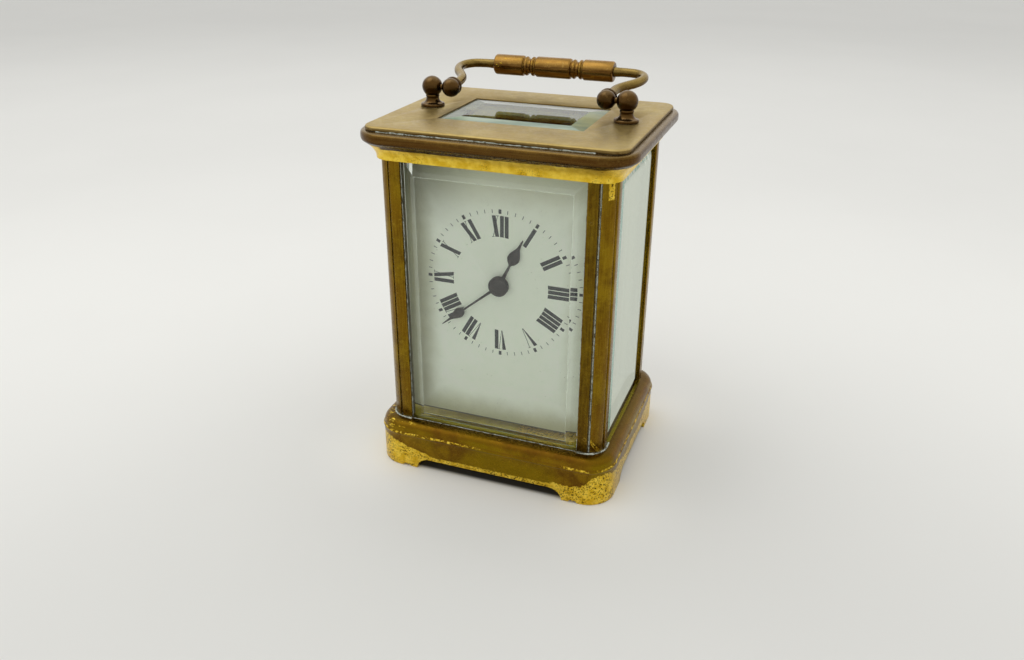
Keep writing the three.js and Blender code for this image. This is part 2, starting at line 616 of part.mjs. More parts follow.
// ---------------------------------------------------------------- going train
function intermediateWheel() {
  const arms = { hub: 2.8, rim: 11.3, arms: 5, half: 0.8 };
  addMovement("intermediate_wheel", join(
    wheelY(TEETH.intermediate, MODULE.intermediate, INTERMEDIATE, CENTRE, -12.6, -11.5, arms),
    pinionY(TEETH.intermediatePinion, MODULE.barrel, INTERMEDIATE, BARREL, -11.6, -7.2),
    ...arborY(1.0, -14.9, INTERMEDIATE),
  ), "movement_brass");
}
function centreWheel() {
  const arms = { hub: 2.8, rim: 10.7, arms: 5, half: 0.7 };
  const wheel = join(
    wheelY(TEETH.centre, MODULE.centre, CENTRE, THIRD, -15.4, -14.4, arms),
    pinionY(TEETH.centrePinion, MODULE.intermediate, CENTRE, INTERMEDIATE, -14.5, -10.6),
    rodY(CENTRE_R, -18.3, 13.9, CENTRE),
  );
  addMovement("centre_wheel", cut(wheel, rodY(CENTRE_BORE, -20, 15, CENTRE)), "movement_brass");
}
function thirdWheel() {
  const arms = { hub: 2.6, rim: 10.2, arms: 5, half: 0.7 };
  addMovement("third_wheel", join(
    wheelY(TEETH.third, MODULE.third, THIRD, CONTRATE, 4, 5, arms),
    pinionY(TEETH.thirdPinion, MODULE.centre, THIRD, CENTRE, -16.0, -13.4),
    ...arborY(0.9, -16.1, THIRD),
  ), "movement_brass");
}
// crown teeth point to the rear and mesh with the upright escape pinion
const CROWN = { base: -2.2, tip: -0.55, inner: 8.62, outer: 9.42, baseW: 0.5, tipW: 0.16 };
function crownTooth(angle) {
  const { inner, outer } = CROWN;
  const positions = [];
  for (const [half, y] of [[CROWN.baseW / 2, CROWN.base - 0.1], [CROWN.tipW / 2, CROWN.tip]]) {
    for (const [radius, flank] of [[inner, -1], [inner, 1], [outer, 1], [outer, -1]]) {
      const middle = polar(radius, angle, CONTRATE);
      const [x, z] = polar(flank * half, angle + Math.PI / 2, middle);
      positions.push(x, y, z);
    }
  }
  return solid(indexed(positions, [
    0, 1, 2, 0, 2, 3, 4, 6, 5, 4, 7, 6, 0, 5, 1, 0, 4, 5,
    1, 6, 2, 1, 5, 6, 2, 7, 3, 2, 6, 7, 3, 4, 0, 3, 7, 4,
  ]));
}
function contrateWheel() {
  const windows = crossings(CONTRATE, { hub: 2.4, rim: 8.3, arms: 4, half: 0.65 });
  addMovement("contrate_wheel", join(
    prismY(circle(9.5, 32, CONTRATE), CROWN.base - 1.0, CROWN.base, windows),
    ...series(TEETH.contrate, (k) => crownTooth(Math.PI / 2 + (k * TAU) / TEETH.contrate)),
    pinionY(TEETH.contratePinion, MODULE.third, CONTRATE, THIRD, 2.6, 6.4),
    ...arborY(0.8, -14, CONTRATE),
  ), "movement_brass");
}

// ---------------------------------------------------------------- motion work
function cannonPinion() {
  const half = 1.05; // square at the rear end
  addMovement("cannon_pinion", join(
    pinionY(TEETH.cannon, MODULE.minute, CENTRE, MINUTE, -20.5, -18.7),
    rodY(1.45, -24.2, -18.7, CENTRE),
    rodY(0.75, -25.3, 14.6, CENTRE),
    box([-half, half], [14.5, 20.6], [CENTRE[1] - half, CENTRE[1] + half]),
  ), "steel");
}
function minuteWheel() {
  addMovement("minute_wheel", join(
    wheelY(TEETH.minute, MODULE.minute, MINUTE, CENTRE, -20.2, -19.0),
    pinionY(TEETH.minutePinion, MODULE.hour, MINUTE, CENTRE, -22.0, -20.1),
    rodY(PIVOT_R, -22.1, -16.8, MINUTE, 8),
  ), "movement_brass");
}
function hourWheel() {
  const wheel = wheelY(TEETH.hour, MODULE.hour, CENTRE, MINUTE, -21.9, -20.8);
  const pipe = rodY(2.2, -24.4, -20.9, CENTRE, 16);
  const bore = rodY(1.68, -26, -20, CENTRE, 16);
  addMovement("hour_wheel", cut(join(wheel, pipe), bore), "movement_brass");
}

// ---------------------------------------------------------------- hands and dial
// right halves of the hands pointing up: stem, pear, drawn-out tip
const HOUR_HALF = [
  [0.6, 2.6], [0.42, 5.4], [0.34, 7.4], [1.15, 8.6], [1.8, 10.0], [1.6, 11.4], [1.0, 12.7],
  [0.5, 13.8], [0.3, 15.5], [0.12, 16.8],
];
const MINUTE_HALF = [
  [0.45, 2.4], [0.3, 8], [0.28, 14.4], [1.0, 15.3], [1.5, 16.6], [1.4, 17.5], [0.9, 18.9],
  [0.4, 20.4], [0.25, 22.2], [0.1, 24.2],
];
function hand(name, { half, degrees, y: [from, to], boss, hole, holeSides }) {
  const cos = Math.cos(rad(degrees));
  const sin = Math.sin(rad(degrees));
  const outline = mirrorX(half).map(([x, z]) =>
    [CENTRE[0] + x * cos + z * sin, CENTRE[1] - x * sin + z * cos]);
  const blade = join(prismY(outline, from, to), rodY(boss, from, to, CENTRE, 20));
  addMovement(name, cut(blade, rodY(hole, from - 1, to + 1, CENTRE, holeSides)), "blued");
}
function hands() {
  hand("hour_hand", {
    half: HOUR_HALF, degrees: HOUR_DEG, y: [-24.15, -23.8], boss: 3.0, hole: 2.3, holeSides: 16,
  });
  hand("minute_hand", {
    half: MINUTE_HALF, degrees: MINUTE_DEG, y: [-24.85, -24.5], boss: 2.7, hole: CENTRE_BORE,
    holeSides: 12,
  });
}
function handCollet() {
  const profile = [ // radius, y
    [0, -25.65], [2.2, -25.65], [2.9, -25.4], [3.05, -25.1], [3.0, -24.9], [0, -24.9],
  ];
  const collet = turned(profile, 20, "y", [CENTRE[0], 0, CENTRE[1]]);
  addMovement("hand_collet", cut(collet, rodY(CENTRE_BORE, -26.5, -24, CENTRE)), "blued");
}
function dial() {
  const feet = [[24, -18.1], [94, -18.6]].flatMap(([z, end]) =>
    [-22, 22].map((x) => rodY(1.0, DIAL_Y + 0.8, end, [x, z], 8)));
  const plate = box([-28.1, 28.1], [DIAL_Y, DIAL_Y + 0.9], [17.1, 99.7]);
  addMovement("dial", cut(join(plate, ...feet), rodY(2.7, -25, -21, CENTRE, 20)), "enamel");
}

// ---------------------------------------------------------------- platform escapement
const LEVER_HALF = [ // offsets from the lever arbor: pallet arm, then fork
  [-1.9, 0.6], [-2.7, 2.0], [-3.1, 2.6], [-2.6, 2.9], [-1.6, 1.6], [-0.9, 0.55],
  [2.6, 0.28], [3.2, 0.75], [4.1, 0.7], [4.1, 0.35], [3.5, 0.3],
];
const SEAT_Z = PLATFORM_Z[1] + 0.02; // underside of bridge and cock
function platformPlate() {
  const [x, y] = ESCAPE;
  const width = [-13, 21];
  const potenceX = [x - 1.5, x + 1.5];
  const plate = cut(
    box(width, [-11.5, 11.5], PLATFORM_Z),
    rodZ(1.5, 90, 95, ESCAPE),
    rodZ(0.45, 90, 95, LEVER, 10),
    rodZ(0.6, 90, 95, BALANCE, 10),
  );
  // potence for the escape arbor's bottom pivot, set behind the pinion
  const potence = [
    box(potenceX, [3.2, 4.8], [82.6, PLATFORM_Z[0] + 0.1]),
    box(potenceX, [y - 1.2, 4.8], [82.6, 83.6]),
  ];
  addMovement("platform_plate", join(
    cut(join(plate, ...potence), rodZ(0.55, 82, 84, ESCAPE, 10)),
    box(width, [11.4, 13.5], PLATFORM_Z), // strips reaching over the movement plates
    box(width, [-17.9, -11.4], PLATFORM_Z),
  ), "movement_brass");
}
function escapeWheel() {
  const tipR = 4.1;
  const club = [[2.9, -0.06], [tipR, 0.08], [tipR - 0.2, 0.16], [3.0, 0.1]];
  const windows = crossings(ESCAPE, { hub: 1.2, rim: 2.45, arms: 4, half: 0.28, start: 0 });
  const leaves = TEETH.escapePinion;
  const phase = gapPhase(leaves, -Math.PI / 2);
  addMovement("escape_wheel", join(
    prismZ(ring(TEETH.escape, club, ESCAPE), 94.2, 94.6, windows),
    prismZ(gearOutline(leaves, MODULE.escape, ESCAPE_LEAF, phase, ESCAPE), 85.4, 90.6),
    rodZ(0.5, 83.9, 96.0, ESCAPE, 8),
    rodZ(0.32, 82.9, 97.2, ESCAPE, 8),
  ), "steel");
}
// fork towards the balance, pallet arms either side of the escape wheel and above it
function palletLever() {
  const outline = mirrorY(LEVER_HALF).map(([x, y]) => [LEVER[0] + x, LEVER[1] + y]);
  addMovement("pallet_lever", join(
    prismZ(outline, 94.9, 95.3),
    rodZ(0.28, 91.4, 97.2, LEVER, 8),
    rodZ(0.5, 93.2, 96.0, LEVER, 8),
  ), "steel");
}
function escapeBridge() {
  const fingerZ = [96.3, 97.9];
  const bridge = join(
    box([-5.2, 6.4], [-7.4, -5.2], [SEAT_Z, fingerZ[1]]),
    box([-3.2, 0.8], [-5.4, 2.4], fingerZ), // over the escape wheel
    box([3.7, 6.4], [-5.4, 1.9], fingerZ), // over the lever
  );
  const holes = [rodZ(0.5, 95, 99, ESCAPE, 10), rodZ(0.45, 95, 99, LEVER, 10)];
  addMovement("escape_bridge", cut(bridge, ...holes), "movement_brass");
}
function balanceWheel() {
  const arms = { hub: 1.1, rim: 6.2, arms: 2, half: 0.5, start: 0, steps: 10 };
  addMovement("balance_wheel", join(
    prismZ(circle(7.1, 28, BALANCE), 98.4, 99.2, crossings(BALANCE, arms)),
    rodZ(0.5, 93.3, 101.6, BALANCE, 10), // staff
    rodZ(0.3, 91.4, 102.8, BALANCE, 8),
    rodZ(1.5, 96.0, 96.5, BALANCE, 14), // roller
    rodZ(0.22, 95.5, 96.1, [BALANCE[0] - 1.2, BALANCE[1]], 8), // impulse pin
  ), "bright_brass");
}
function hairspring() {
  const coil = { centre: BALANCE, radius: 1.1, growth: 3.2, turns: 4, half: 0.07, steps: 40 };
  addMovement("hairspring", prismZ(spiral(coil), 100.1, 100.4), "blued");
}
function balanceCock() {
  const foot = box([7.6, 13.8], [8.6, 11.4], [SEAT_Z, 103.6]);
  const finger = box([8.6, 12.8], [-1.4, 8.8], [102.0, 103.6]);
  const cock = cut(join(foot, finger), rodZ(0.5, 101, 104, BALANCE, 10));
  addMovement("balance_cock", cock, "movement_brass");
}

// ---------------------------------------------------------------- assembly
baseMoulding();
caseScrews();
floorPlate();
casePillars();
caseGlasses();
cornice();
topPlate();
topGlass();
SIDES.forEach(handlePost);
SIDES.forEach(handleArm);
handleGrip();
rearDoor();
movementPlates();
movementPillars();
barrel();
barrelArbor();
mainspring();
ratchetWheel();
click();
intermediateWheel();
centreWheel();
thirdWheel();
contrateWheel();
cannonPinion();
minuteWheel();
hourWheel();
hands();
handCollet();
dial();
platformPlate();
escapeWheel();
palletLever();
escapeBridge();
balanceWheel();
hairspring();
balanceCock();
export default clock;
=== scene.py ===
"""Looks of a brass carriage clock with a folding handle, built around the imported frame.

The clock stands on z = 0 with its dial facing -y, its right-hand side at +x and z up.
Lengths are millimetres unless a line says otherwise; MM turns them into metres.
"""
import json
import math
import random
import bpy
import bmesh
from mathutils import Matrix, Vector


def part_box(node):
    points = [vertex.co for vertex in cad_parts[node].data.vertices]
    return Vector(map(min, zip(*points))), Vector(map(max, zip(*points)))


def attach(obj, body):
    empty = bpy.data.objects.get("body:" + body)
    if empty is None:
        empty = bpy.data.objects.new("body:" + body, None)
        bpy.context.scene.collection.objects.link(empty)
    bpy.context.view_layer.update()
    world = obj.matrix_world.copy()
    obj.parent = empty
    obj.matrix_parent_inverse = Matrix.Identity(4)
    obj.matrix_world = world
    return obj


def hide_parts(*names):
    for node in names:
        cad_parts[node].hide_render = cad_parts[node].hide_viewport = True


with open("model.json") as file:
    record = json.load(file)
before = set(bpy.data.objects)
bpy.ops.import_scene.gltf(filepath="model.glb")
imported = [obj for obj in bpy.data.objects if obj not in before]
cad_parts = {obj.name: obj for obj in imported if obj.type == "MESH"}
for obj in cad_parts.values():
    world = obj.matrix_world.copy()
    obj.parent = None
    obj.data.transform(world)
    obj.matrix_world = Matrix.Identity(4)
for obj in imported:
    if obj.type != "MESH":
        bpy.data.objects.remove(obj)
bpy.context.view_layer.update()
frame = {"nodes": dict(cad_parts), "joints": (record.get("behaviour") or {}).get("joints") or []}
NODES = frame["nodes"]
MM = 0.001
TAU = 2 * math.pi
SIDES = (("left", -1), ("right", 1))
scene = bpy.context.scene
for old in [o for o in scene.objects if o.type in {"CAMERA", "LIGHT"}]:
    bpy.data.objects.remove(old)


# ============================================================ measures taken from the frame
def low(node):
    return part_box(node)[0] / MM

def high(node):
    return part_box(node)[1] / MM

def middle(node):
    start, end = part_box(node)
    return (start + end) / 2 / MM

CORNER_R = 4.6  # corner radius of the mouldings at their datum
CASE_X = high("base_moulding").x - 4.45  # datum of the mouldings
ENV_X = high("pillar_front_right").x  # outside of the pillars
ENV_Y = -low("pillar_front_right").y
COLUMN_RX, COLUMN_RY = 5.8, 5.4  # the rounded outer corner of a pillar
BASE_TOP = high("base_moulding").z
PILLAR_Z = (low("pillar_front_right").z, high("pillar_front_right").z)
PLATE_TOP = high("top_plate").z
FLAT_X, FLAT_Y = 16.6, 9.6  # half sizes of the top glass inside its bevels
DIAL_Y, DIAL_Z = low("dial").y, low("dial").z
MOVE_Y = low("back_plate").y - 12.0  # offset of the movement from its own datum
MOVE_Z = low("front_plate").z - 16.1
ARBOR_X, ARBOR_Z = middle("hand_collet").x, middle("hand_collet").z
BALANCE_X, BALANCE_Y = middle("balance_wheel").x, 0.55 + MOVE_Y
PIVOT_Z = {j["name"]: j for j in frame["joints"]}["handle_fold"]["pos_m"][2] / MM
POST_X, ARM_X = 30.2, 24.05
GRIP = middle("handle_grip")
HANDLE_R = math.hypot(GRIP.z - PIVOT_Z, GRIP.y)  # pivot to the axis of the grip
HANDLE_REST = math.atan2(GRIP.z - PIVOT_Z, GRIP.y)


# ============================================================ mesh helpers
def linked(name, mesh):
    part = bpy.data.objects.new(name, mesh)
    scene.collection.objects.link(part)
    return part

def tidy(part):
    """Merges doubled points and turns the faces outward."""
    bm = bmesh.new()
    bm.from_mesh(part.data)
    bmesh.ops.remove_doubles(bm, verts=bm.verts, dist=1e-6)
    bmesh.ops.recalc_face_normals(bm, faces=bm.faces)
    bm.to_mesh(part.data)
    bm.free()
    return part

def new_object(name, points, faces):
    mesh = bpy.data.meshes.new(name)
    mesh.from_pydata([Vector(p) * MM for p in points], [], faces)
    mesh.update()
    return linked(name, mesh)

def smooth(part, angle):
    mesh = part.data
    mesh.polygons.foreach_set("use_smooth", [True] * len(mesh.polygons))
    mesh.set_sharp_from_angle(angle=math.radians(angle))

def bake(part):
    """Turns the modifiers of the part into plain mesh."""
    bpy.context.view_layer.update()
    graph = bpy.context.evaluated_depsgraph_get()
    mesh = bpy.data.meshes.new_from_object(part.evaluated_get(graph))
    part.modifiers.clear()
    old_mesh = part.data
    part.data = mesh
    bpy.data.meshes.remove(old_mesh)
    return part

def boolean(part, tools, operation="DIFFERENCE"):
    for tool in tools:
        modifier = part.modifiers.new("boolean", "BOOLEAN")
        modifier.operation = operation
        modifier.solver = "EXACT"
        modifier.object = tool
    bake(part)
    for tool in tools:
        bpy.data.objects.remove(tool)
    return part

def add_bevel(part, name, width, segments, angle):
    modifier = part.modifiers.new(name, "BEVEL")
    modifier.width = width * MM
    modifier.segments = segments
    modifier.limit_method = "ANGLE"
    modifier.angle_limit = math.radians(angle)
    modifier.use_clamp_overlap = True

def bevel(part, width, angle=32):
    add_bevel(part, "bevel", width, 2, angle)
    return bake(part)

def circle(radius, sides, x=0, y=0):
    angles = [k * TAU / sides for k in range(sides)]
    return [(x + radius * math.cos(a), y + radius * math.sin(a)) for a in angles]

def round_rect(width, depth, radius, steps):
    points = []
    for sx, sy, start in ((1, 1, 0), (-1, 1, 90), (-1, -1, 180), (1, -1, 270)):
        for k in range(steps + 1):
            angle = math.radians(start + 90 * k / steps)
            points.append((sx * (width / 2 - radius) + radius * math.cos(angle),
                           sy * (depth / 2 - radius) + radius * math.sin(angle)))
    return points

def arc_profile(radius, height, start, end, steps):
    """Arc about the axis of a turned part, as (radius, height); angles in degrees."""
    angles = [math.radians(start + (end - start) * k / steps) for k in range(steps + 1)]
    return [(radius * math.cos(a), height + radius * math.sin(a)) for a in angles]

def spline(points, per):
    """Open Catmull-Rom curve through the points, with per steps between two of them."""
    out = []
    ctrl = [Vector(p) for p in points]
    ctrl = [ctrl[0] * 2 - ctrl[1]] + ctrl + [ctrl[-1] * 2 - ctrl[-2]]
    for i in range(1, len(ctrl) - 2):
        p0, p1, p2, p3 = ctrl[i - 1:i + 3]
        for k in range(per):
            t = k / per
            out.append(0.5 * ((2 * p1) + (p2 - p0) * t + (2 * p0 - 5 * p1 + 4 * p2 - p3) * t * t
                              + (3 * p1 - p0 - 3 * p2 + p3) * t ** 3))
    out.append(ctrl[-2].copy())
    return out

def loft(rings, name):
    """Closed skin through rings that have equal numbers of points."""
    n = len(rings[0])
    faces = []
    for k in range(len(rings) - 1):
        for i in range(n):
            j = (i + 1) % n
            faces.append((k * n + i, k * n + j, (k + 1) * n + j, (k + 1) * n + i))
    faces.append(tuple(reversed(range(n))))
    faces.append(tuple(range((len(rings) - 1) * n, len(rings) * n)))
    return tidy(new_object(name, [p for ring in rings for p in ring], faces))

def moulding(name, profile, wider=0, tighter=0):
    """Profile of (outward, z) run round the case; wider and tighter adjust width and corners."""
    rings = []
    for out, z in profile:
        outline = round_rect(2 * (CASE_X + out + wider), 2 * (ENV_Y + out),
                             CORNER_R + out - tighter, 14)
        rings.append([(x, y, z) for x, y in outline])
    return loft(rings, name)

def prism(points, axis, start, end, name="piece"):
    """Outline swept along an axis. Points are (x, z) for y, (x, y) for z, (y, z) for x."""
    def place(p, t):
        return {"y": (p[0], t, p[1]), "z": (p[0], p[1], t), "x": (t, p[0], p[1])}[axis]
    n = len(points)
    faces = [(i, (i + 1) % n, n + (i + 1) % n, n + i) for i in range(n)]
    faces += [tuple(range(n)), tuple(reversed(range(n, 2 * n)))]
    return tidy(new_object(name, [place(p, t) for t in (start, end) for p in points], faces))

def block(x0, x1, y0, y1, z0, z1):
    return prism([(x0, y0), (x1, y0), (x1, y1), (x0, y1)], "z", z0, z1)

def turned(profile, sides, axis="z", at=(0, 0, 0), name="piece"):
    """Profile of (radius, height) revolved; radius 0 at both ends closes it."""
    def place(radius, height, angle):
        u, v = radius * math.cos(angle), radius * math.sin(angle)
        point = {"z": (u, v, height), "x": (height, u, v), "y": (v, height, u)}[axis]
        return tuple(p + a for p, a in zip(point, at))
    points, rows, faces = [], [], []
    for radius, height in profile:
        if radius < 1e-6:
            rows.append([len(points)] * sides)
            points.append(place(0, height, 0))
        else:
            rows.append(list(range(len(points), len(points) + sides)))
            points += [place(radius, height, i * TAU / sides) for i in range(sides)]
    for row, after in zip(rows, rows[1:]):
        for i in range(sides):
            j = (i + 1) % sides
            face = tuple(dict.fromkeys((row[i], row[j], after[j], after[i])))
            if len(face) > 2:
                faces.append(face)
    return tidy(new_object(name, points, faces))

def tube(name, points, radius, sides):
    """Round bar along the points; radius is a number or a function of 0..1 along it."""
    points = [Vector(p) for p in points]
    last = len(points) - 1
    rings, up = [], None
    for i, p in enumerate(points):
        along = (points[min(i + 1, last)] - points[max(i - 1, 0)]).normalized()
        if up is None:
            up = along.orthogonal().normalized()
        up = (up - along * up.dot(along)).normalized()
        across = along.cross(up)
        r = radius(i / last) if callable(radius) else radius
        rings.append([tuple(p + r * (c * up + s * across)) for c, s in circle(1, sides)])
    return loft(rings, name)

def transform(part, matrix):
    part.data.transform(matrix)
    return part

def joined(name, parts):
    """One object holding several closed shells that do not touch one another."""
    bm = bmesh.new()
    for part in parts:
        bm.from_mesh(part.data)
        bpy.data.objects.remove(part)
    mesh = bpy.data.meshes.new(name)
    bm.to_mesh(mesh)
    bm.free()
    return linked(name, mesh)

def dress(part, finish):
    part.data.materials.clear()
    part.data.materials.append(finish)

def register(part, body, replaces):
    if replaces:
        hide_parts(replaces)
    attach(part, body)

def fit(part, finish, body="case", replaces=None, angle=None):
    """Shades a finished part, gives it its material and tells the frame about it."""
    if angle is not None:
        smooth(part, angle)
    dress(part, finish)
    register(part, body, replaces)


# ============================================================ shader helpers
def srgb(*rgb):
    """Linear RGBA of a colour given in 0..255."""
    return tuple(c / 255 / 12.92 if c <= 10 else ((c / 255 + 0.055) / 1.055) ** 2.4
                 for c in rgb) + (1.0,)

class Value:
    """A number or colour in a node tree; arithmetic on it adds Math nodes."""
    def __init__(self, net, socket):
        self.net, self.socket = net, socket

    def __add__(self, other):
        return self.net.math("ADD", self, other)

    def __sub__(self, other):
        return self.net.math("SUBTRACT", self, other)

    def __rsub__(self, other):
        return self.net.math("SUBTRACT", other, self)

    def __mul__(self, other):
        return self.net.math("MULTIPLY", self, other)

    def __abs__(self):
        return self.net.math("ABSOLUTE", self)

    def sqrt(self):
        return self.net.math("SQRT", self)

    def min(self, other):
        return self.net.math("MINIMUM", self, other)

    def max(self, other, clamp=False):
        return self.net.math("MAXIMUM", self, other, clamp)

    def ramp(self, start, end, to=(0.0, 1.0)):
        """Smooth step: start..end becomes to[0]..to[1]."""
        node = self.net.new("MapRange", Value=self, From_Min=start, From_Max=end,
                            To_Min=to[0], To_Max=to[1])
        node.interpolation_type = "SMOOTHSTEP"
        return Value(self.net, node.outputs["Result"])

class Net:
    """Short-hand for building the node tree of a material or world.

    A tuple of three is a colour in 0..255, a tuple of four a linear one.
    """
    def __init__(self, owner, output="OutputMaterial", space="Object"):
        owner.use_nodes = True
        self.owner, self.tree = owner, owner.node_tree
        self.tree.nodes.clear()
        self.surface = self.new(output).inputs["Surface"]
        self.coords = self.new("TexCoord").outputs[space]

    def new(self, kind, **inputs):
        node = self.tree.nodes.new("ShaderNode" + kind)
        for name, value in inputs.items():
            self.feed(node.inputs[name.replace("_", " ")], value)
        return node

    def feed(self, socket, value):
        if isinstance(value, Value):
            value = value.socket
        if isinstance(value, bpy.types.NodeSocket):
            self.tree.links.new(value, socket)
        elif isinstance(value, tuple) and len(value) == 3:
            socket.default_value = srgb(*value)
        else:
            socket.default_value = value

    def math(self, operation, first, second=0.0, clamp=False):
        node = self.new("Math")
        node.operation = operation
        node.use_clamp = clamp
        for socket, value in zip(node.inputs, (first, second, 0.0)):
            self.feed(socket, value)
        return Value(self, node.outputs[0])

    def split(self, vector, names):
        node = self.new("SeparateXYZ")
        self.feed(node.inputs[0], vector)
        return [Value(self, node.outputs[name]) for name in names]

    def axes(self, names):
        """The named object coordinates in millimetres."""
        return [value * 1000.0 for value in self.split(self.coords, names)]

    def noise(self, scale, detail=4, rough=0.6, stretch=None, seed=0.0):
        mapping = self.new("Mapping", Vector=self.coords)
        mapping.inputs["Location"].default_value = (seed * 0.0131, seed * 0.0077, seed * 0.0041)
        if stretch:
            mapping.inputs["Scale"].default_value = stretch
        node = self.new("TexNoise", Vector=mapping.outputs[0], Scale=scale, Detail=detail,
                        Roughness=rough)
        return Value(self, node.outputs["Fac"])

    def wander(self, amount, scale, **noise):
        """Noise swinging about zero."""
        return (self.noise(scale, **noise) - 0.5) * amount

    def mix(self, factor, first, second, kind="RGBA"):
        node = self.new("Mix")
        node.data_type = kind
        start, out = {"RGBA": (6, 2), "FLOAT": (2, 0)}[kind]  # sockets of that kind
        self.feed(node.inputs[0], factor)
        self.feed(node.inputs[start], first)
        self.feed(node.inputs[start + 1], second)
        return Value(self, node.outputs[out])

    def blend(self, factor, first, second):
        """Mixes two shaders; first and second are shader sockets."""
        node = self.new("MixShader")
        for socket, value in zip(node.inputs, (factor, first, second)):
            self.feed(socket, value)
        return node.outputs[0]

    def bump(self, height, strength, distance):
        return self.new("Bump", Strength=strength, Distance=distance * MM,
                        Height=height).outputs[0]

    def edge(self, radius):
        """Rises from 0 on the edges of the part."""
        soft = self.new("Bevel", Radius=radius * MM)
        soft.samples = 4
        dot = self.new("VectorMath")
        dot.operation = "DOT_PRODUCT"
        self.feed(dot.inputs[0], soft.outputs[0])
        self.feed(dot.inputs[1], self.new("NewGeometry").outputs["Normal"])
        return 1.0 - Value(self, dot.outputs["Value"])

    def crevice(self, distance):
        """Rises from 0 where other surfaces stand close by."""
        occlusion = self.new("AmbientOcclusion", Distance=distance * MM)
        occlusion.samples = 4
        return 1.0 - Value(self, occlusion.outputs["AO"])

    def facing(self):
        return Value(self, self.new("LayerWeight", Blend=0.5).outputs["Facing"])

    def finish(self, shader):
        self.feed(self.surface, shader)
        return self.owner

    def principled(self, **inputs):
        return self.finish(self.new("BsdfPrincipled", **inputs).outputs[0])

def material(name):
    return Net(bpy.data.materials.new(name))


# ============================================================ brass
def lacquer(net, seed, pit_area, pit_amount, pit_size, pit_level):
    """Colour of lacquer that is still bright, and the mask of its fine pits."""
    colour = net.mix(net.noise(420, rough=0.55, seed=seed + 7).ramp(0.35, 0.65),
                     (218, 178, 40), (244, 210, 76))
    pitted = net.noise(150, detail=3, seed=seed + 17).ramp(*pit_area, to=pit_amount)
    pits = net.noise(pit_size, detail=5, rough=0.8, seed=seed + 13)
    pits = pits.ramp(pit_level, pit_level + 0.03)
    colour = net.mix(pits * pitted, colour, (62, 42, 6))
    large = net.noise(700, detail=5, rough=0.75, seed=seed + 19).ramp(0.63, 0.66)
    return net.mix(large * pitted * 0.85, colour, (96, 70, 14)), pits

def brass(name, dark, body, light, rough, seed, wear, gold=None, residue=0.0, grain=None,
          specks=0.3, metal=0.95, drift=None, facing=(), stain_and_shade=None, pit_area=(0.42, 0.56),
          pit_amount=(0.1, 1.0), pit_size=1500, pit_level=0.525):
    """Aged lacquered brass, clouded from dark to body with light specks.

    gold(net) masks lacquer still bright; stain_and_shade is (mask function, colour), used for
    a deposit and for painted shade; drift a broad second tone; facing lists (from, to, amount,
    colour) that tint by the upward part of the normal, as painted shade and painted highlight on
    the cornice, plate, handle and knops;
    """
    net = material(name)
    cloud = net.noise(160, detail=5, seed=seed)
    fine = net.noise(900, seed=seed + 3)
    micro = net.noise(4200, detail=3, seed=seed + 5)
    broad = net.noise(48, detail=3, rough=0.5, seed=seed + 6)
    colour = net.mix(cloud.ramp(0.36, 0.64), dark, body)
    if drift:
        colour = net.mix(broad.ramp(0.42, 0.62, to=(0.0, 0.75)), colour, drift)
    colour = net.mix(fine.ramp(0.55, 0.78) * 0.5, colour, light)
    pinholes = net.noise(2600, rough=0.7, seed=seed + 9).ramp(0.62, 0.66)
    colour = net.mix(pinholes * specks, colour, (40, 27, 8))
    # Tints by how far the normal points up: painted shade and painted highlight on the cornice,
    # plate, handle and knops
    if facing:
        [slope] = net.split(net.new("TexCoord").outputs["Normal"], "Z")
        slope = slope + (fine - 0.5) * 0.35
        for start, end, amount, tint in facing:
            colour = net.mix(slope.ramp(start, end, to=(0.0, amount)), colour, tint)
    # This mask and colour paint a real deposit on the base ledges, and painted shade on the inner
    # strips of the right pillars
    if stain_and_shade:
        stain_and_shade_mask, tint = stain_and_shade
        colour = net.mix(stain_and_shade_mask(net, fine), colour, tint)
    roughness = fine.ramp(0.3, 0.75, to=(rough - 0.06, rough + 0.1))
    height = micro * 0.4 + fine * 0.6
    if grain:
        brushed = net.noise(2600, detail=2, rough=0.5, stretch=grain, seed=seed + 1)
        colour = net.mix(brushed.ramp(0.35, 0.7) * 0.2, colour, light)
        height = height + brushed * 0.9
    if wear:
        worn = (net.edge(0.55) + net.wander(0.3, 1900, detail=3, seed=seed + 8)).ramp(0.05, 0.13)
        worn = worn * broad.ramp(0.44, 0.58, to=(0.12, 1.0))
        colour = net.mix(worn * wear, colour, (222, 184, 78))
    if gold:
        mask = gold(net)
        bright, pits = lacquer(net, seed, pit_area, pit_amount, pit_size, pit_level)
        colour = net.mix(mask, colour, bright)
        roughness = net.mix(mask, roughness, 0.3, "FLOAT")
        height = height + mask * 0.8 - pits * mask * 0.5
    if residue:
        left = net.crevice(0.8) + net.wander(0.9, 900, rough=0.65, seed=seed + 21)
        left = left.ramp(0.56, 0.74) * residue
        colour = net.mix(left, colour, (176, 176, 158))
        metal = net.mix(left, metal, 0.0, "FLOAT")
        roughness = net.mix(left, roughness, 0.85, "FLOAT")
    return net.principled(Base_Color=colour, Metallic=metal, Roughness=roughness,
                          Normal=net.bump(height, strength=0.25, distance=0.05))

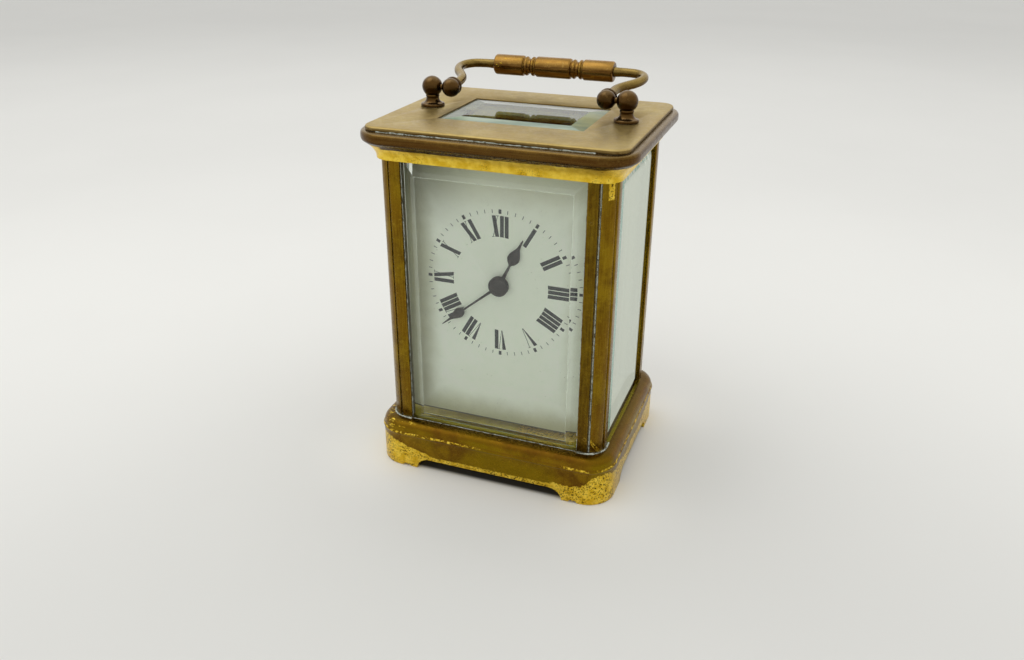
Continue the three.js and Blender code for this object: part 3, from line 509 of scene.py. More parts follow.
def base_gold(net):
    """Bright low on the base, higher towards the ends and sides, with dots on its ridge."""
    x, y, z = net.axes("XYZ")
    across, deep = abs(x), abs(y)
    right = x.ramp(30.0, 35.5, to=(0, 4.9))
    left = x.ramp(-19.0, -38.5, to=(0, 4.2))
    front = across.ramp(16, 26, to=(5.35, 6.1)) + right + left
    side = deep.ramp(8, 26, to=(7.6, 9.6))
    limit = net.mix(across.ramp(38.2, 38.9), front, side, "FLOAT")
    calm = across.ramp(15, 27, to=(0.3, 1.0))
    ragged = net.wander(3.4, 230, seed=41) + net.wander(1.5, 1500, rough=0.65, seed=43)
    below = limit + ragged * calm - z
    mask = below.ramp(-0.03, 0.05) * z.ramp(11.75, 11.4)
    ridge = z.ramp(12.02, 12.18) * z.ramp(12.85, 12.65)
    ends = x.ramp(22.0, 27.0, to=(0, 0.9)).max(y.ramp(-20.0, -5.0, to=(0, 0.5)))
    ends = x.ramp(2.0, -12.0).max(ends)
    dots = net.noise(1500, rough=0.75, stretch=(0.45, 0.45, 1), seed=45) + ends * 0.09
    ridge = ridge * dots.ramp(0.585, 0.61) * ends.ramp(0.05, 0.4)
    flakes = net.noise(800, detail=5, rough=0.75, stretch=(0.5, 1, 1), seed=46).ramp(0.57, 0.6)
    upper = z.ramp(13.3, 13.6) * (x.ramp(-24, -31) * y.ramp(-19, -24)) * flakes
    return mask.max(ridge.max(upper))

def cove_gold(net):
    """Bright up to the top of the hollow, under a ragged edge that rises to the right."""
    x, z = net.axes("XZ")
    ragged = net.wander(2.0, 260, detail=5, rough=0.7, stretch=(0.3, 1, 1), seed=51)
    limit = x.ramp(-34, 34, to=(104.3, 105.0)) + ragged * 0.55
    body = (limit - z).ramp(-0.04, 0.1)
    left_end = (x + ragged).ramp(-31.0, -32.5)
    broken = net.noise(700, rough=0.7, stretch=(0.25, 1, 1), seed=53).ramp(0.46, 0.5)
    line = z.ramp(104.98, 105.06) * broken * x.ramp(-8, 8)
    return body.max(left_end.max(line)) * z.ramp(105.22, 105.14)

def pillar_gold(net):
    """Patches at the top and foot of the front right pillar, and scattered flecks."""
    x, y, z = net.axes("XYZ")
    ragged = net.wander(1.6, 700, seed=61)
    top = (z + ragged).ramp(95.6, 95.8) * (x.ramp(33.1, 33.3) * x.ramp(34.55, 34.4))
    slant = abs(z - (68.6 - x * 1.52))  # height from a sloping line
    foot = (slant + ragged * 0.4).ramp(0.85, 0.75) * x.ramp(31.7, 31.8)
    hole = slant.ramp(0.3, 0.22) * (x.ramp(32.3, 32.5) * x.ramp(33.3, 33.1))
    foot = foot * z.ramp(21.5, 21.0) * (1.0 - hole)
    patch = top.max(foot) * y.ramp(-23, -24)
    flecks = net.noise(900, rough=0.7, seed=63).ramp(0.71, 0.73)
    flecks = flecks * net.noise(90, detail=2, rough=0.55, seed=65).ramp(0.5, 0.6)
    return patch.max(flecks, clamp=True)

def grip_gold(net):
    """Blotches, thickest at the left end."""
    [x] = net.axes("X")
    blotches = net.noise(360, detail=5, rough=0.7, stretch=(0.5, 1, 1), seed=71)
    return blotches.ramp(0.585, 0.61) * x.ramp(-12, -18, to=(0.12, 0.95))

def inner_gold(net):
    """A ragged band right of the middle, at the front."""
    x, y = net.axes("XY")
    ragged = net.wander(5.0, 300, rough=0.65, seed=73)
    band = (x + ragged).ramp(6.0, 7.0) * (x + ragged).ramp(24.5, 23.5)
    return band * y.ramp(-16.0, -17.0) * 0.75

def strip_painted_shade(net, fine):
    """Painted shade: darkens the inner strips of the right pillars below their columns."""
    [x] = net.axes("X")
    return x.ramp(26.8, 27.2) * x.ramp(31.5, 31.2) * fine.ramp(0.3, 0.7, to=(0.7, 0.45))

def ledge(net, fine):
    """Olive deposit on the flat ledges beside the side glasses."""
    x, y, z = net.axes("XYZ")
    across = abs(x)
    mask = across.ramp(34.3, 34.5) * across.ramp(CASE_X + 0.75, CASE_X + 0.6)
    mask = mask * z.ramp(15.6, 15.8) * abs(y).ramp(23.0, 22.4)
    return mask * fine.ramp(0.3, 0.6, to=(0.7, 0.95))

GRAIN_X, GRAIN_Z = (0.05, 1, 1), (1, 1, 0.05)
BASE_BRASS = brass(
    "base_brass", (102, 70, 13), (134, 102, 16), (168, 134, 38), rough=0.3, seed=1, wear=0.3,
    gold=base_gold, residue=0.35, drift=(134, 110, 8), stain_and_shade=(ledge, (150, 134, 26)),
    facing=((0.25, 0.6, 0.55, (98, 64, 10)), (0.75, 0.95, 0.5, (84, 66, 4))),
    pit_area=(0.34, 0.5), pit_amount=(0.3, 1.0))
CORNICE_BRASS = brass(
    "cornice_brass", (84, 58, 20), (104, 77, 30), (134, 107, 52), rough=0.25, seed=2, wear=0.15,
    gold=cove_gold, residue=0.3, grain=(0.03, 1, 1),
    # facing: painted shade on the front and underside of the bull-nose, painted highlight on its
    # top
    facing=((0.55, -0.15, 0.75, (76, 46, 14)), (-0.1, -0.6, 0.8, (44, 28, 2)),
            (0.6, 0.85, 0.5, (150, 126, 74))),
    pit_area=(0.5, 0.62), pit_amount=(0.15, 0.9), pit_size=2600, pit_level=0.56)
PLATE_BRASS = brass(
    "top_plate_brass", (178, 154, 92), (196, 173, 108), (212, 192, 130), rough=0.42, seed=3,
    wear=0.0, residue=0.3, grain=GRAIN_X, drift=(182, 156, 94),
    # facing: painted shade on the steep edge faces of the plate
    facing=((0.75, 0.3, 0.9, (98, 72, 26)),))
PILLAR_BRASS = brass(
    "pillar_brass", (102, 74, 10), (136, 108, 16), (170, 142, 38), rough=0.28, seed=4,
    wear=0.25, gold=pillar_gold, residue=0.8, grain=GRAIN_Z, drift=(114, 80, 10),
    # painted shade on the inner strips of the right pillars
    stain_and_shade=(strip_painted_shade, (72, 52, 10)))
GRIP_BRASS = brass(
    "grip_brass", (140, 102, 44), (164, 124, 58), (196, 158, 88), rough=0.2, seed=5, wear=0.4,
    gold=grip_gold, residue=0.2, grain=GRAIN_X, specks=0.15,
    # facing: painted shade on the lower half and underside of the grip
    facing=((0.5, 0.1, 0.85, (74, 42, 8)), (-0.5, -0.9, 0.5, (40, 22, 4))))
ARM_BRASS = brass(
    "arm_brass", (112, 90, 44), (140, 116, 60), (176, 150, 92), rough=0.25, seed=6, wear=0.1,
    # facing: painted shade under the arms, painted highlight on their tops
    residue=0.2, facing=((0.35, -0.2, 0.75, (74, 52, 12)), (0.45, 0.9, 0.45, (186, 160, 92))))
KNOP_BRASS = brass(
    "knop_brass", (68, 47, 20), (88, 63, 29), (118, 92, 50), rough=0.2, seed=7, wear=0.1,
    # facing: painted shade under the knops, painted highlight on their tops
    residue=0.3, facing=((0.35, -0.35, 0.85, (38, 22, 4)), (0.5, 0.95, 0.5, (150, 124, 84))))
INNER_BRASS = brass(
    "inner_brass", (184, 166, 48), (204, 187, 66), (218, 203, 96), rough=0.55, seed=8,
    wear=0.2, gold=inner_gold, residue=0.1, specks=0.5, metal=0.15)
MOVEMENT_BRASS = brass(
    "movement_brass", (150, 116, 56), (176, 140, 74), (200, 168, 98), rough=0.32, seed=9,
    wear=0.2, grain=(1, 1, 0.04), specks=0.12)
WHEEL_BRASS = brass(
    "wheel_brass", (172, 134, 60), (196, 158, 80), (218, 186, 108), rough=0.28, seed=10,
    wear=0.25, specks=0.06)
DOOR_BRASS = brass(
    "door_brass", (104, 78, 28), (136, 108, 42), (166, 136, 64), rough=0.32, seed=11,
    wear=0.4, residue=0.35, grain=GRAIN_Z)


# ============================================================ steel
def steel(name, base, rough, seed, blotch=None, metal=0.9):
    net = material(name)
    cloud = net.noise(700, seed=seed)
    brushed = net.noise(2600, detail=3, rough=0.5, stretch=(1, 0.1, 1), seed=seed + 2)
    brighter = tuple(min(1, c * 1.35) for c in srgb(*base)[:3]) + (1,)
    colour = net.mix(cloud.ramp(0.3, 0.7), base, brighter)
    if blotch:
        spots = net.noise(1100, detail=5, rough=0.7, seed=seed + 4).ramp(0.56, 0.66)
        colour = net.mix(spots * 0.7, colour, blotch)
    return net.principled(
        Base_Color=colour, Metallic=metal,
        Roughness=brushed.ramp(0.3, 0.7, to=(rough - 0.06, rough + 0.12)),
        Normal=net.bump(cloud + brushed, strength=0.2, distance=0.03))

STEEL = steel("polished_steel", (150, 152, 156), rough=0.24, seed=1, blotch=(104, 92, 78))
BLUED = steel("blued_steel", (38, 44, 74), rough=0.25, seed=2)
HAND_STEEL = steel("hand_steel", (52, 48, 47), rough=0.5, seed=3, blotch=(88, 78, 70),
                   metal=0.55)


# ============================================================ glass
def painted_glass_reflection(net, body, mask, colour, glow=0.0):
    """Lays a painted reflection over the glass where the mask says, glowing by glow."""
    pale = net.new("BsdfPrincipled", Base_Color=colour, Roughness=0.3, Emission_Color=colour,
                   Emission_Strength=glow)
    return net.blend(mask, body, pale.outputs[0])

def front_bevels(net, body):
    """Painted highlights and reflections: fine bright glowing lines where the bevels begin, and
    pale streaks in the lower one.
    """
    x, y, z = net.axes("XYZ")
    face, across = y.ramp(-27.6, -27.7), abs(x)
    inside = across.ramp(23.85, 23.8) * (z.ramp(18.25, 18.3) * z.ramp(96.35, 96.3))
    sides = abs(across - 23.7).ramp(0.1, 0.03)
    ends = abs(z - 18.4).ramp(0.11, 0.04).max(abs(z - 96.2).ramp(0.11, 0.04))
    line = sides.max(ends) * inside * face
    line = line * net.noise(500, detail=3, seed=121).ramp(0.35, 0.6, to=(0.1, 0.42))
    streak = abs(z - 16.75).ramp(0.22, 0.1) * y.ramp(-27.2, -27.3)
    broken = net.noise(400, rough=0.7, stretch=(0.3, 1, 1), seed=123)
    streak = streak * broken.ramp(0.42, 0.6, to=(0.1, 0.7))
    # painted highlight lines with a glow, then painted reflection streaks in the lower bevel
    body = painted_glass_reflection(net, body, line, (206, 216, 198), glow=0.4)
    return painted_glass_reflection(net, body, streak, (150, 166, 138), glow=0.2)

def side_edge_mask(net):
    """The cut edge of a side glass: towards the front pillar and under the cornice."""
    y, z = net.axes("YZ")
    front = y.ramp(-15.2, -15.5) * 1.0  # full strength, unlike the dashed top
    dashes = net.noise(620, detail=2, rough=0.5, stretch=(1, 1, 0.05), seed=99)
    top = z.ramp(96.7, 96.9) * dashes.ramp(0.46, 0.54, to=(0.25, 1.0))
    grazing = net.facing().ramp(0.35, 0.6, to=(0.06, 0.85))
    return net.math("MULTIPLY", front.max(top), grazing, clamp=True)

def side_green(net, body):
    colour = net.mix(net.noise(400, detail=3, stretch=(1, 1, 0.3), seed=94),
                     (78, 150, 134), (170, 206, 190))
    green = net.new("BsdfPrincipled", Base_Color=colour, Roughness=0.25)
    return net.blend(side_edge_mask(net), body, green.outputs[0])

def side_sill(net, body):
    """Painted reflection of the sill, seen in the lower bevel of a side glass."""
    x, z = net.axes("XZ")
    ragged = net.wander(1.2, 500, rough=0.7, stretch=(1, 0.5, 1), seed=131)
    mask = (z + ragged).ramp(17.9, 17.6) * abs(x).ramp(32.7, 32.8)
    colour = net.mix(net.noise(900, rough=0.7, seed=133).ramp(0.4, 0.62),
                     (74, 70, 24), (170, 152, 48))
    return painted_glass_reflection(net, body, mask * 0.85, colour)

def side_veil(net, body):
    """Pale reflection at grazing angles, away from the cut edge."""
    soft = net.noise(60, detail=2, rough=0.5, stretch=(1, 1, 0.12), seed=95)
    mask = net.facing().ramp(0.5, 0.66) * soft.ramp(0.3, 0.7, to=(0.74, 0.86))
    mask = mask * (1.0 - side_edge_mask(net))
    colour = net.mix(net.noise(45, detail=3, stretch=(1, 1, 0.15), seed=96),
                     (190, 196, 182), (203, 208, 193))
    return net.blend(mask, body, net.new("Emission", Color=colour).outputs[0])

def top_bevels(net, body):
    """The four bevels of the top glass, each catching a different light."""
    x, y, z = net.axes("XYZ")
    up = z.ramp(109.7, 109.8)
    beyond = {"front": -FLAT_Y - y, "back": y - FLAT_Y, "right": x - FLAT_X, "left": -FLAT_X - x}
    bevel_reflection_noise = net.noise(120, stretch=(0.4, 1, 1), seed=111)
    ends, sides = ("front", "back"), ("left", "right")
    # bevel, its neighbours, strength, darker colour, lighter colour
    for key, others, amount, dark, light in (
            ("left", ends, 0.5, (128, 140, 116), (164, 174, 152)),
            ("back", sides, 0.82, (176, 180, 168), (214, 218, 212)),
            ("right", ends, 0.8, (136, 158, 128), (176, 180, 122)),
            ("front", sides, 0.84, (142, 172, 148), (184, 202, 176))):
        mask = beyond[key].ramp(0.0, 0.12)
        for other in others:
            mask = mask * (beyond[key] - beyond[other]).ramp(-0.06, 0.06)
        mask = mask * up * bevel_reflection_noise.ramp(0.3, 0.7, to=(amount - 0.2, amount))
        # a painted reflection on each bevel, varied by the noise
        body = painted_glass_reflection(net, body, mask, net.mix(bevel_reflection_noise.ramp(0.35, 0.65), dark, light))
    return body

def glass(name, *coats, bend=1.8, tint=(0.985, 1.0, 0.985)):
    """Bevelled glass under a trace of dust. bend is its IOR; each coat covers part of it."""
    net = material(name)
    rough = net.noise(500, detail=3, seed=91).ramp(0.4, 0.8, to=(0.0, 0.012))
    through = net.new("BsdfRefraction", Color=(*tint, 1), IOR=bend, Roughness=rough)
    shine = net.new("BsdfGlossy", Color=(1, 1, 1, 1), Roughness=rough)
    fresnel = net.new("Fresnel", IOR=1.5)
    body = net.blend(fresnel.outputs[0], through.outputs[0], shine.outputs[0])
    film = net.new("BsdfDiffuse", Color=(214, 220, 216))
    dust = net.noise(350, detail=5, rough=0.7, seed=93).ramp(0.45, 0.75) * 0.02
    body = net.blend(dust, body, film.outputs[0])
    for coat in coats:
        body = coat(net, body)
    clear = net.new("BsdfTransparent", Color=(0.975, 0.985, 0.97, 1))
    shadow = net.new("LightPath").outputs["Is Shadow Ray"]
    return net.finish(net.blend(shadow, body, clear.outputs[0]))

FRONT_GLASS = glass("clear_glass", front_bevels)
SIDE_GLASS = glass("side_glass", side_green, side_sill, side_veil, bend=1.5)
# The strong tint darkens all seen through the top glass: painted shade for the inside of the case.
TOP_GLASS = glass("top_glass_mat", top_bevels, bend=1.5, tint=(0.66, 0.7, 0.52))
DOOR_GLASS = glass("door_glass_mat")


# ============================================================ other finishes
def jewel():
    net = material("jewel_red")
    colour = net.mix(net.noise(900, detail=2, rough=0.55), (150, 12, 40), (196, 30, 66))
    return net.principled(Base_Color=colour, Roughness=0.08, Coat_Weight=0.6)

def powder():
    """Dried polish with the dark metal showing in places."""
    net = material("polish_residue")
    colour = net.mix(net.noise(1500, rough=0.7, seed=97).ramp(0.35, 0.65),
                     (168, 178, 164), (208, 212, 202))
    bare = net.noise(520, detail=5, rough=0.75, seed=100).ramp(0.5, 0.6)
    colour = net.mix(bare * 0.85, colour, (74, 66, 36))
    grains = net.noise(3000, rough=0.7, seed=98)
    return net.principled(Base_Color=colour, Roughness=0.9,
                          Normal=net.bump(grains, strength=0.5, distance=0.08))

def enamel():
    """White enamel gone slightly green, with painted shade towards the case on all sides, painted
    shadows and a painted glow.
    """
    net = material("dial_enamel")
    x, z = net.axes("XZ")
    colour = net.mix(net.noise(60, seed=81).ramp(0.35, 0.7), (243, 249, 232), (247, 252, 238))
    wander = net.wander(5.0, 90, detail=3, seed=82)
    # Painted shade towards the case on the sides, at the bottom and under the top.
    sides = (abs(x) + wander).ramp(19, 28)
    bottom = (z + wander).ramp(27, 17)
    top = (z + wander).ramp(84, 99) * 0.9
    colour = net.mix(sides.max(bottom.max(top)) * 0.62, colour, (142, 140, 72))
    # Painted shadow of the case in the upper left corner.
    corner = (x + wander).ramp(-4, -25) * (z + wander).ramp(76, 98)
    colour = net.mix(corner * 0.78, colour, (88, 90, 42))
    # Painted shadow line along the lower edge.
    colour = net.mix(z.ramp(DIAL_Z + 0.55, DIAL_Z + 0.4) * 0.9, colour, (52, 50, 26))
    specks = net.noise(1500, detail=3, seed=83).ramp(0.7, 0.73)
    colour = net.mix(specks * 0.5, colour, (96, 88, 60))
    waves = net.noise(300, detail=3, rough=0.5, seed=85)
    # The emission is a painted glow that stands in for light reaching the dial.
    return net.principled(Base_Color=colour, Roughness=0.32, Specular_IOR_Level=0.4,
                          Emission_Color=colour, Emission_Strength=0.085,
                          Normal=net.bump(waves, strength=0.06, distance=0.05))

def ink():
    net = material("dial_ink")
    colour = net.mix(net.noise(1800, detail=3, seed=87).ramp(0.3, 0.75),
                     (30, 35, 36), (50, 56, 57))
    grains = net.noise(2500, detail=2, rough=0.5, seed=88)
    return net.principled(Base_Color=colour, Roughness=0.38,
                          Normal=net.bump(grains, strength=0.1, distance=0.02))

JEWEL = jewel()
POWDER = powder()
PLATFORM_BRASS = brass(
    "platform_brass", (84, 74, 34), (110, 96, 48), (150, 132, 72), rough=0.34, seed=12,
    wear=0.3, grain=GRAIN_X, specks=0.2, metal=0.85)
ENAMEL = enamel()
INK = ink()


# ============================================================ frame pieces that stay
def node_group(name):
    group = bpy.data.node_groups.new(name, "GeometryNodeTree")
    for way in ("INPUT", "OUTPUT"):
        group.interface.new_socket("Geometry", in_out=way, socket_type="NodeSocketGeometry")
    return group, group.nodes.new("NodeGroupInput"), group.nodes.new("NodeGroupOutput")

def shade_group():
    """Smooth shading, with edges of 30 degrees and more left sharp."""
    group, start, end = node_group("soft_shade")
    angle = group.nodes.new("GeometryNodeInputMeshEdgeAngle")
    compare = group.nodes.new("FunctionNodeCompare")
    compare.data_type = "FLOAT"
    compare.operation = "LESS_THAN"
    compare.inputs[1].default_value = math.radians(30)
    group.links.new(angle.outputs[0], compare.inputs[0])
    edges = group.nodes.new("GeometryNodeSetShadeSmooth")
    edges.domain = "EDGE"
    faces = group.nodes.new("GeometryNodeSetShadeSmooth")
    faces.domain = "FACE"
    group.links.new(start.outputs[0], edges.inputs[0])
    group.links.new(compare.outputs[0], edges.inputs["Shade Smooth"])
    group.links.new(edges.outputs[0], faces.inputs[0])
    group.links.new(faces.outputs[0], end.inputs[0])
    return group

def weld_group():
    group, start, end = node_group("weld")
    merge = group.nodes.new("GeometryNodeMergeByDistance")
    merge.inputs["Distance"].default_value = 2e-6
    group.links.new(start.outputs[0], merge.inputs[0])
    group.links.new(merge.outputs[0], end.inputs[0])
    return group

SHADE, WELD = shade_group(), weld_group()

def keep(node, finish, edge, segments):
    """Softens a frame piece with modifiers and gives it its material."""
    part = NODES[node]
    dress(part, finish)
    part.modifiers.new("weld", "NODES").node_group = WELD
    add_bevel(part, "edge", edge, segments, 33)
    part.modifiers.new("shade", "NODES").node_group = SHADE

# finish, edge width, edge segments, pieces
KEPT = (
    (INNER_BRASS, 0.08, 2, "floor_plate top_glass_retainer"),
    (PLATFORM_BRASS, 0.12, 2, "platform_plate escape_bridge balance_cock"),
    (MOVEMENT_BRASS, 0.12, 2, """front_plate back_plate
     movement_pillar_lower_left movement_pillar_lower_right
     movement_pillar_upper_left movement_pillar_upper_right"""),
    (WHEEL_BRASS, 0.05, 1, """barrel_drum barrel_cap intermediate_wheel centre_wheel
     third_wheel contrate_wheel minute_wheel hour_wheel balance_wheel"""),
    (STEEL, 0.05, 1, """barrel_arbor ratchet_wheel click mainspring cannon_pinion
     escape_wheel pallet_lever case_screw_front_left case_screw_front_right
     case_screw_rear_left case_screw_rear_right door_pivot_pin_bottom door_pivot_pin_top"""),
    (KNOP_BRASS, 0.1, 2, "handle_post_nut_left handle_post_nut_right"),
    (DOOR_BRASS, 0.18, 2, "rear_door_frame"),
    (ENAMEL, 0.08, 2, "dial"),
)

def keep_frame_pieces():
    for finish, edge, segments, nodes in KEPT:
        for node in nodes.split():
            keep(node, finish, edge, segments)
    for node, finish in (("front_glass", FRONT_GLASS), ("rear_door_glass", DOOR_GLASS),
                         ("left_glass", SIDE_GLASS), ("right_glass", SIDE_GLASS)):
        dress(NODES[node], finish)
        NODES[node].modifiers.clear()


# ============================================================ case
def glass_rebates(z0, z1):
    """Cutters for the ends of the front and side glasses."""
    return [block(-29.7, 29.7, -28.25, -25.55, z0, z1),
            block(-34.6, -31.9, -24, 24, z0, z1), block(31.9, 34.6, -24, 24, z0, z1)]

def foot_gap(half):
    """Low opening between two feet, with rounded upper corners."""
    reach, height, steps = 4.4, 3.9, 10
    angles = [math.radians(90 * k / steps) for k in range(steps + 1)]
    arc = [(half - reach * (1 - math.cos(a)), height * math.sin(a)) for a in angles]
    return [(-half, -1), (half, -1)] + arc + [(-x, z) for x, z in reversed(arc)]

def notch(x):
    """Small tapered notch in the lower edge."""
    half, height = 1.7, 0.9
    return [(x - half, -1), (x + half, -1), (x + half * 0.94, 0.1), (x + half * 0.5, height),
            (x - half * 0.5, height), (x - half * 0.94, 0.1)]

def base_moulding():
    profile = [  # outward, z: upright face, then a small bead
        (3.9, 0.0), (4.1, 0.12), (4.2, 0.4), (4.2, 3.0), (4.2, 6.0), (4.2, 9.0), (4.2, 11.35),
        (4.28, 11.6), (4.42, 11.85), (4.47, 12.1), (4.4, 12.4), (4.2, 12.65)]
    for k in range(8):  # ovolo
        angle = math.radians(90 * k / 8)
        profile.append((0.75 + 3.3 * math.cos(angle) ** 0.9, 12.85 + 3.1 * math.sin(angle)))
    base = moulding("base_casting", profile + [(0.7, BASE_TOP)])
    cutters = [block(-26, 26, -20, 20, -1, 13.15), block(-29, 29, -25.7, 23, 13.1, 17)]
    cutters += glass_rebates(13.0, 17)
    cutters += [prism(foot_gap(24.6), "y", -40, 40), prism(foot_gap(17.4), "x", -45, 45)]
    cutters += [prism(notch(x), "y", -40, 40) for x in (28.2, -28.2)]
    cutters += [prism(circle(radius, 24, x, y), "z", -1, top)  # screw holes, counterbored
                for x in (-31, 31) for y in (-25, 25) for radius, top in ((1.5, 17), (3.0, 6))]
    boolean(base, cutters)
    fit(bevel(tidy(base), 0.16, 40), BASE_BRASS, replaces="base_moulding", angle=40)

def nose(start, end, z, rise):
    """Part of the cornice's bull-nose; angles in degrees."""
    angles = [math.radians(start + (end - start) * k / 6) for k in range(7)]
    return [(4.5 + 1.02 * math.cos(a), z + rise * math.sin(a)) for a in angles]

def cornice():
    profile = [(1.3, 100.8), (1.32, 101.3)]
    for k in range(11):  # hollow
        cosine = math.cos(math.radians(90 * k / 10))
        profile.append((3.75 - 2.4 * cosine, 101.5 + 3.5 * (1 - cosine) ** 0.62))
    profile += [(3.85, 105.12), (4.05, 105.2), (4.3, 105.5), (4.75, 105.72)]
    profile += nose(-65, 0, 106.85, 1.12) + [(5.54, 107.3)] + nose(0, 78, 107.75, 1.1)
    part = moulding("cornice_casting", profile + [(4.3, 108.87), (2.6, 108.93)])
    boolean(part, [block(-28.5, 28.5, -22.5, 22.5, 100, 104),
                   block(-33.8, 33.8, -23.5, 23.5, 103, 110)] + glass_rebates(100, 101.6))
    fit(tidy(part), CORNICE_BRASS, replaces="cornice", angle=40)

def top_plate():
    profile = [  # outward, z
        (2.1, 108.95), (2.3, 109.0), (2.38, 109.2), (2.42, 109.5), (2.36, 109.8),
        (2.2, 110.05), (1.95, 110.2), (1.6, 110.27), (1.2, PLATE_TOP)]
    plate = moulding("top_plate_casting", profile, wider=1.0, tighter=2.4)
    window = prism(round_rect(44, 30, 0.35, 4), "z", 108, 112)
    seat = block(-24.6, 24.6, -17.6, 17.6, 108, 109.65)
    holes = [prism(circle(1.5, 24, x, 0), "z", 108, 112) for x in (POST_X, -POST_X)]
    boolean(plate, [window, seat] + holes)
    fit(bevel(tidy(plate), 0.14, 50), PLATE_BRASS, replaces="top_plate", angle=40)

def top_pane():
    bottom, top = low("top_glass").z, high("top_glass").z
    stations = (  # half width, half depth, z
        (24.1, 17.1, bottom), (24.2, 17.2, bottom + 0.1), (24.2, 17.2, 109.5),
        (24.1, 17.1, 109.6), (21.9, 14.9, 109.6), (21.85, 14.85, 109.93), (FLAT_X, FLAT_Y, top))
    corners = ((1, 1), (-1, 1), (-1, -1), (1, -1))
    pane = loft([[(sx * half_x, sy * half_y, z) for sx, sy in corners]
                 for half_x, half_y, z in stations], "top_pane")
    fit(pane, TOP_GLASS, replaces="top_glass")

def pillar_section(rear):
    """Outline as (inward from the outer x, inward from the outer y)."""
    start = math.asin((COLUMN_RX - 3.65) / COLUMN_RX)
    end = math.acos((COLUMN_RY - 3.3) / COLUMN_RY)
    angles = [start + (end - start) * k / 16 for k in range(17)]
    arc = [(COLUMN_RX - COLUMN_RX * math.sin(a), COLUMN_RY - COLUMN_RY * math.cos(a))
           for a in angles]
    front = [(7.65, 0), (4.45, 0), (4.45, 1.0), (3.65, 1.0)]
    side = [(1.0, 3.3), (1.0, 4.1), (0, 4.1), (0, 7.3), (0.8, 7.3), (0.8, 5.0), (3.4, 5.0),
            (3.4, 7.3), (5.3, 7.3), (5.3, 5.3)]
    inner = [(7.65, 5.3)]
    if not rear:  # groove for the front glass
        inner += [(7.65, 3.4), (5.35, 3.4), (5.35, 0.8), (7.65, 0.8)]
    return front + arc + side + inner

def pillars():
    for row, sy in (("front", -1), ("rear", 1)):
        for side, sx in SIDES:
            name = f"pillar_{row}_{side}"
            outline = [(sx * (ENV_X - u), sy * (ENV_Y - v))
                       for u, v in pillar_section(row == "rear")]
            part = prism(outline, "z", *PILLAR_Z, name=name + "_column")
            fit(bevel(part, 0.1, 34), PILLAR_BRASS, replaces=name, angle=34)

def glass_pins():
    """Two round pins in the front strip of the right pillar."""
    profile = [(0, 0.25), (0.68, 0.25), (0.74, 0.02), (0.68, -0.06), (0.5, -0.05),
               (0.42, -0.01), (0.36, -0.1), (0.2, -0.17), (0, -0.19)]  # radius, y
    for level, x, z in (("upper", 29.2, 89.3), ("lower", 30.1, 21.0)):
        pin = turned(profile, 24, "y", (x, -ENV_Y, z), "glass_pin_right_" + level)
        fit(pin, PILLAR_BRASS, angle=50)


# ============================================================ handle
# The arms and grip are made lying along +y from the pivot, then swung up to rest.
LIFT = Matrix.Translation((0, 0, PIVOT_Z * MM)) @ Matrix.Rotation(HANDLE_REST, 4, "X")
POST = [  # radius, z
    (0, 104.8), (1.2, 104.8), (1.2, 110.32), (3.4, 110.32), (3.55, 110.4), (3.62, 110.62),
    (3.6, 111.0), (3.48, 111.2), (3.1, 111.34), (2.65, 111.5), (2.28, 111.85), (2.02, 112.3),
    (1.92, 112.75), (1.95, 113.1), (2.1, 113.45)] + arc_profile(3.08, PIVOT_Z, -50, 90, 18)
ARM = [  # x, distance from the pivot
    (24.05, 0), (24.1, 3.0), (24.1, 6.6), (24.6, 10.0), (26.3, 13.2), (28.5, 16.4),
    (29.8, 20.0), (29.4, 23.2), (27.1, 25.55), (23.4, 26.3), (20.3, HANDLE_R), (17.4, HANDLE_R)]
COLLAR = [  # radius, distance from the pivot
    (0, 1.3), (2.4, 1.3), (2.7, 1.5), (2.75, 1.75), (2.7, 2.1), (2.4, 2.4), (1.7, 2.65),
    (0, 2.7)]
HALF_GRIP = [  # radius, x: the left half
    (0, -19.55), (2.55, -19.55), (2.85, -19.45), (3.05, -19.2), (3.15, -18.85),
    (3.15, -10.25), (3.1, -10.05), (2.9, -9.85), (2.55, -9.75), (2.45, -9.6), (2.5, -9.42),
    (2.8, -9.3), (2.95, -9.05), (2.95, -8.8), (2.8, -8.55), (2.5, -8.4), (2.35, -8.2),
    (2.3, -7.65), (2.35, -7.5), (2.5, -7.3), (2.8, -7.15), (2.95, -6.9), (2.95, -6.6),
    (2.8, -6.35), (2.5, -6.2), (2.45, -6.0), (2.55, -5.85), (2.9, -5.7), (3.1, -5.45),
    (3.15, -5.2)]

def handle_post(side, sign):
    post = turned(POST, 48, "z", (sign * POST_X, 0, 0), "post_" + side)
    spigot = prism(circle(0.85, 24, 0, PIVOT_Z), "x", *sorted((sign * 25.2, sign * 29)))
    boolean(post, [spigot], "UNION")
    fit(post, KNOP_BRASS, replaces="handle_post_" + side, angle=40)

def handle_arm(side, sign):
    path = spline([(sign * x, y, 0) for x, y in ARM], 7)
    arm = tube("arm_" + side, path, lambda t: 1.35 + 0.3 * max(0, (t - 0.86) / 0.14), 24)
    knop = turned(arc_profile(2.78, 0, -90, 90, 24), 40, "z", (sign * ARM_X, 0, 0))
    collar = turned(COLLAR, 40, "y", (sign * (ARM_X + 0.05), 0, 0))
    boolean(arm, [knop, collar], "UNION")
    boolean(arm, [prism(circle(1.05, 24), "x", *sorted((sign * 24.9, sign * 28)))])
    transform(arm, LIFT)
    smooth(arm, 40)
    dress(arm, ARM_BRASS)
    arm.data.materials.append(KNOP_BRASS)
    for face in arm.data.polygons:  # the knop and its collar are darker than the arm
        centre = LIFT.inverted() @ face.center / MM
        if (centre - Vector((sign * ARM_X, 0, 0))).length < 3.4 and centre.y < 2.6:
            face.material_index = 1
    register(arm, "handle", "handle_arm_" + side)

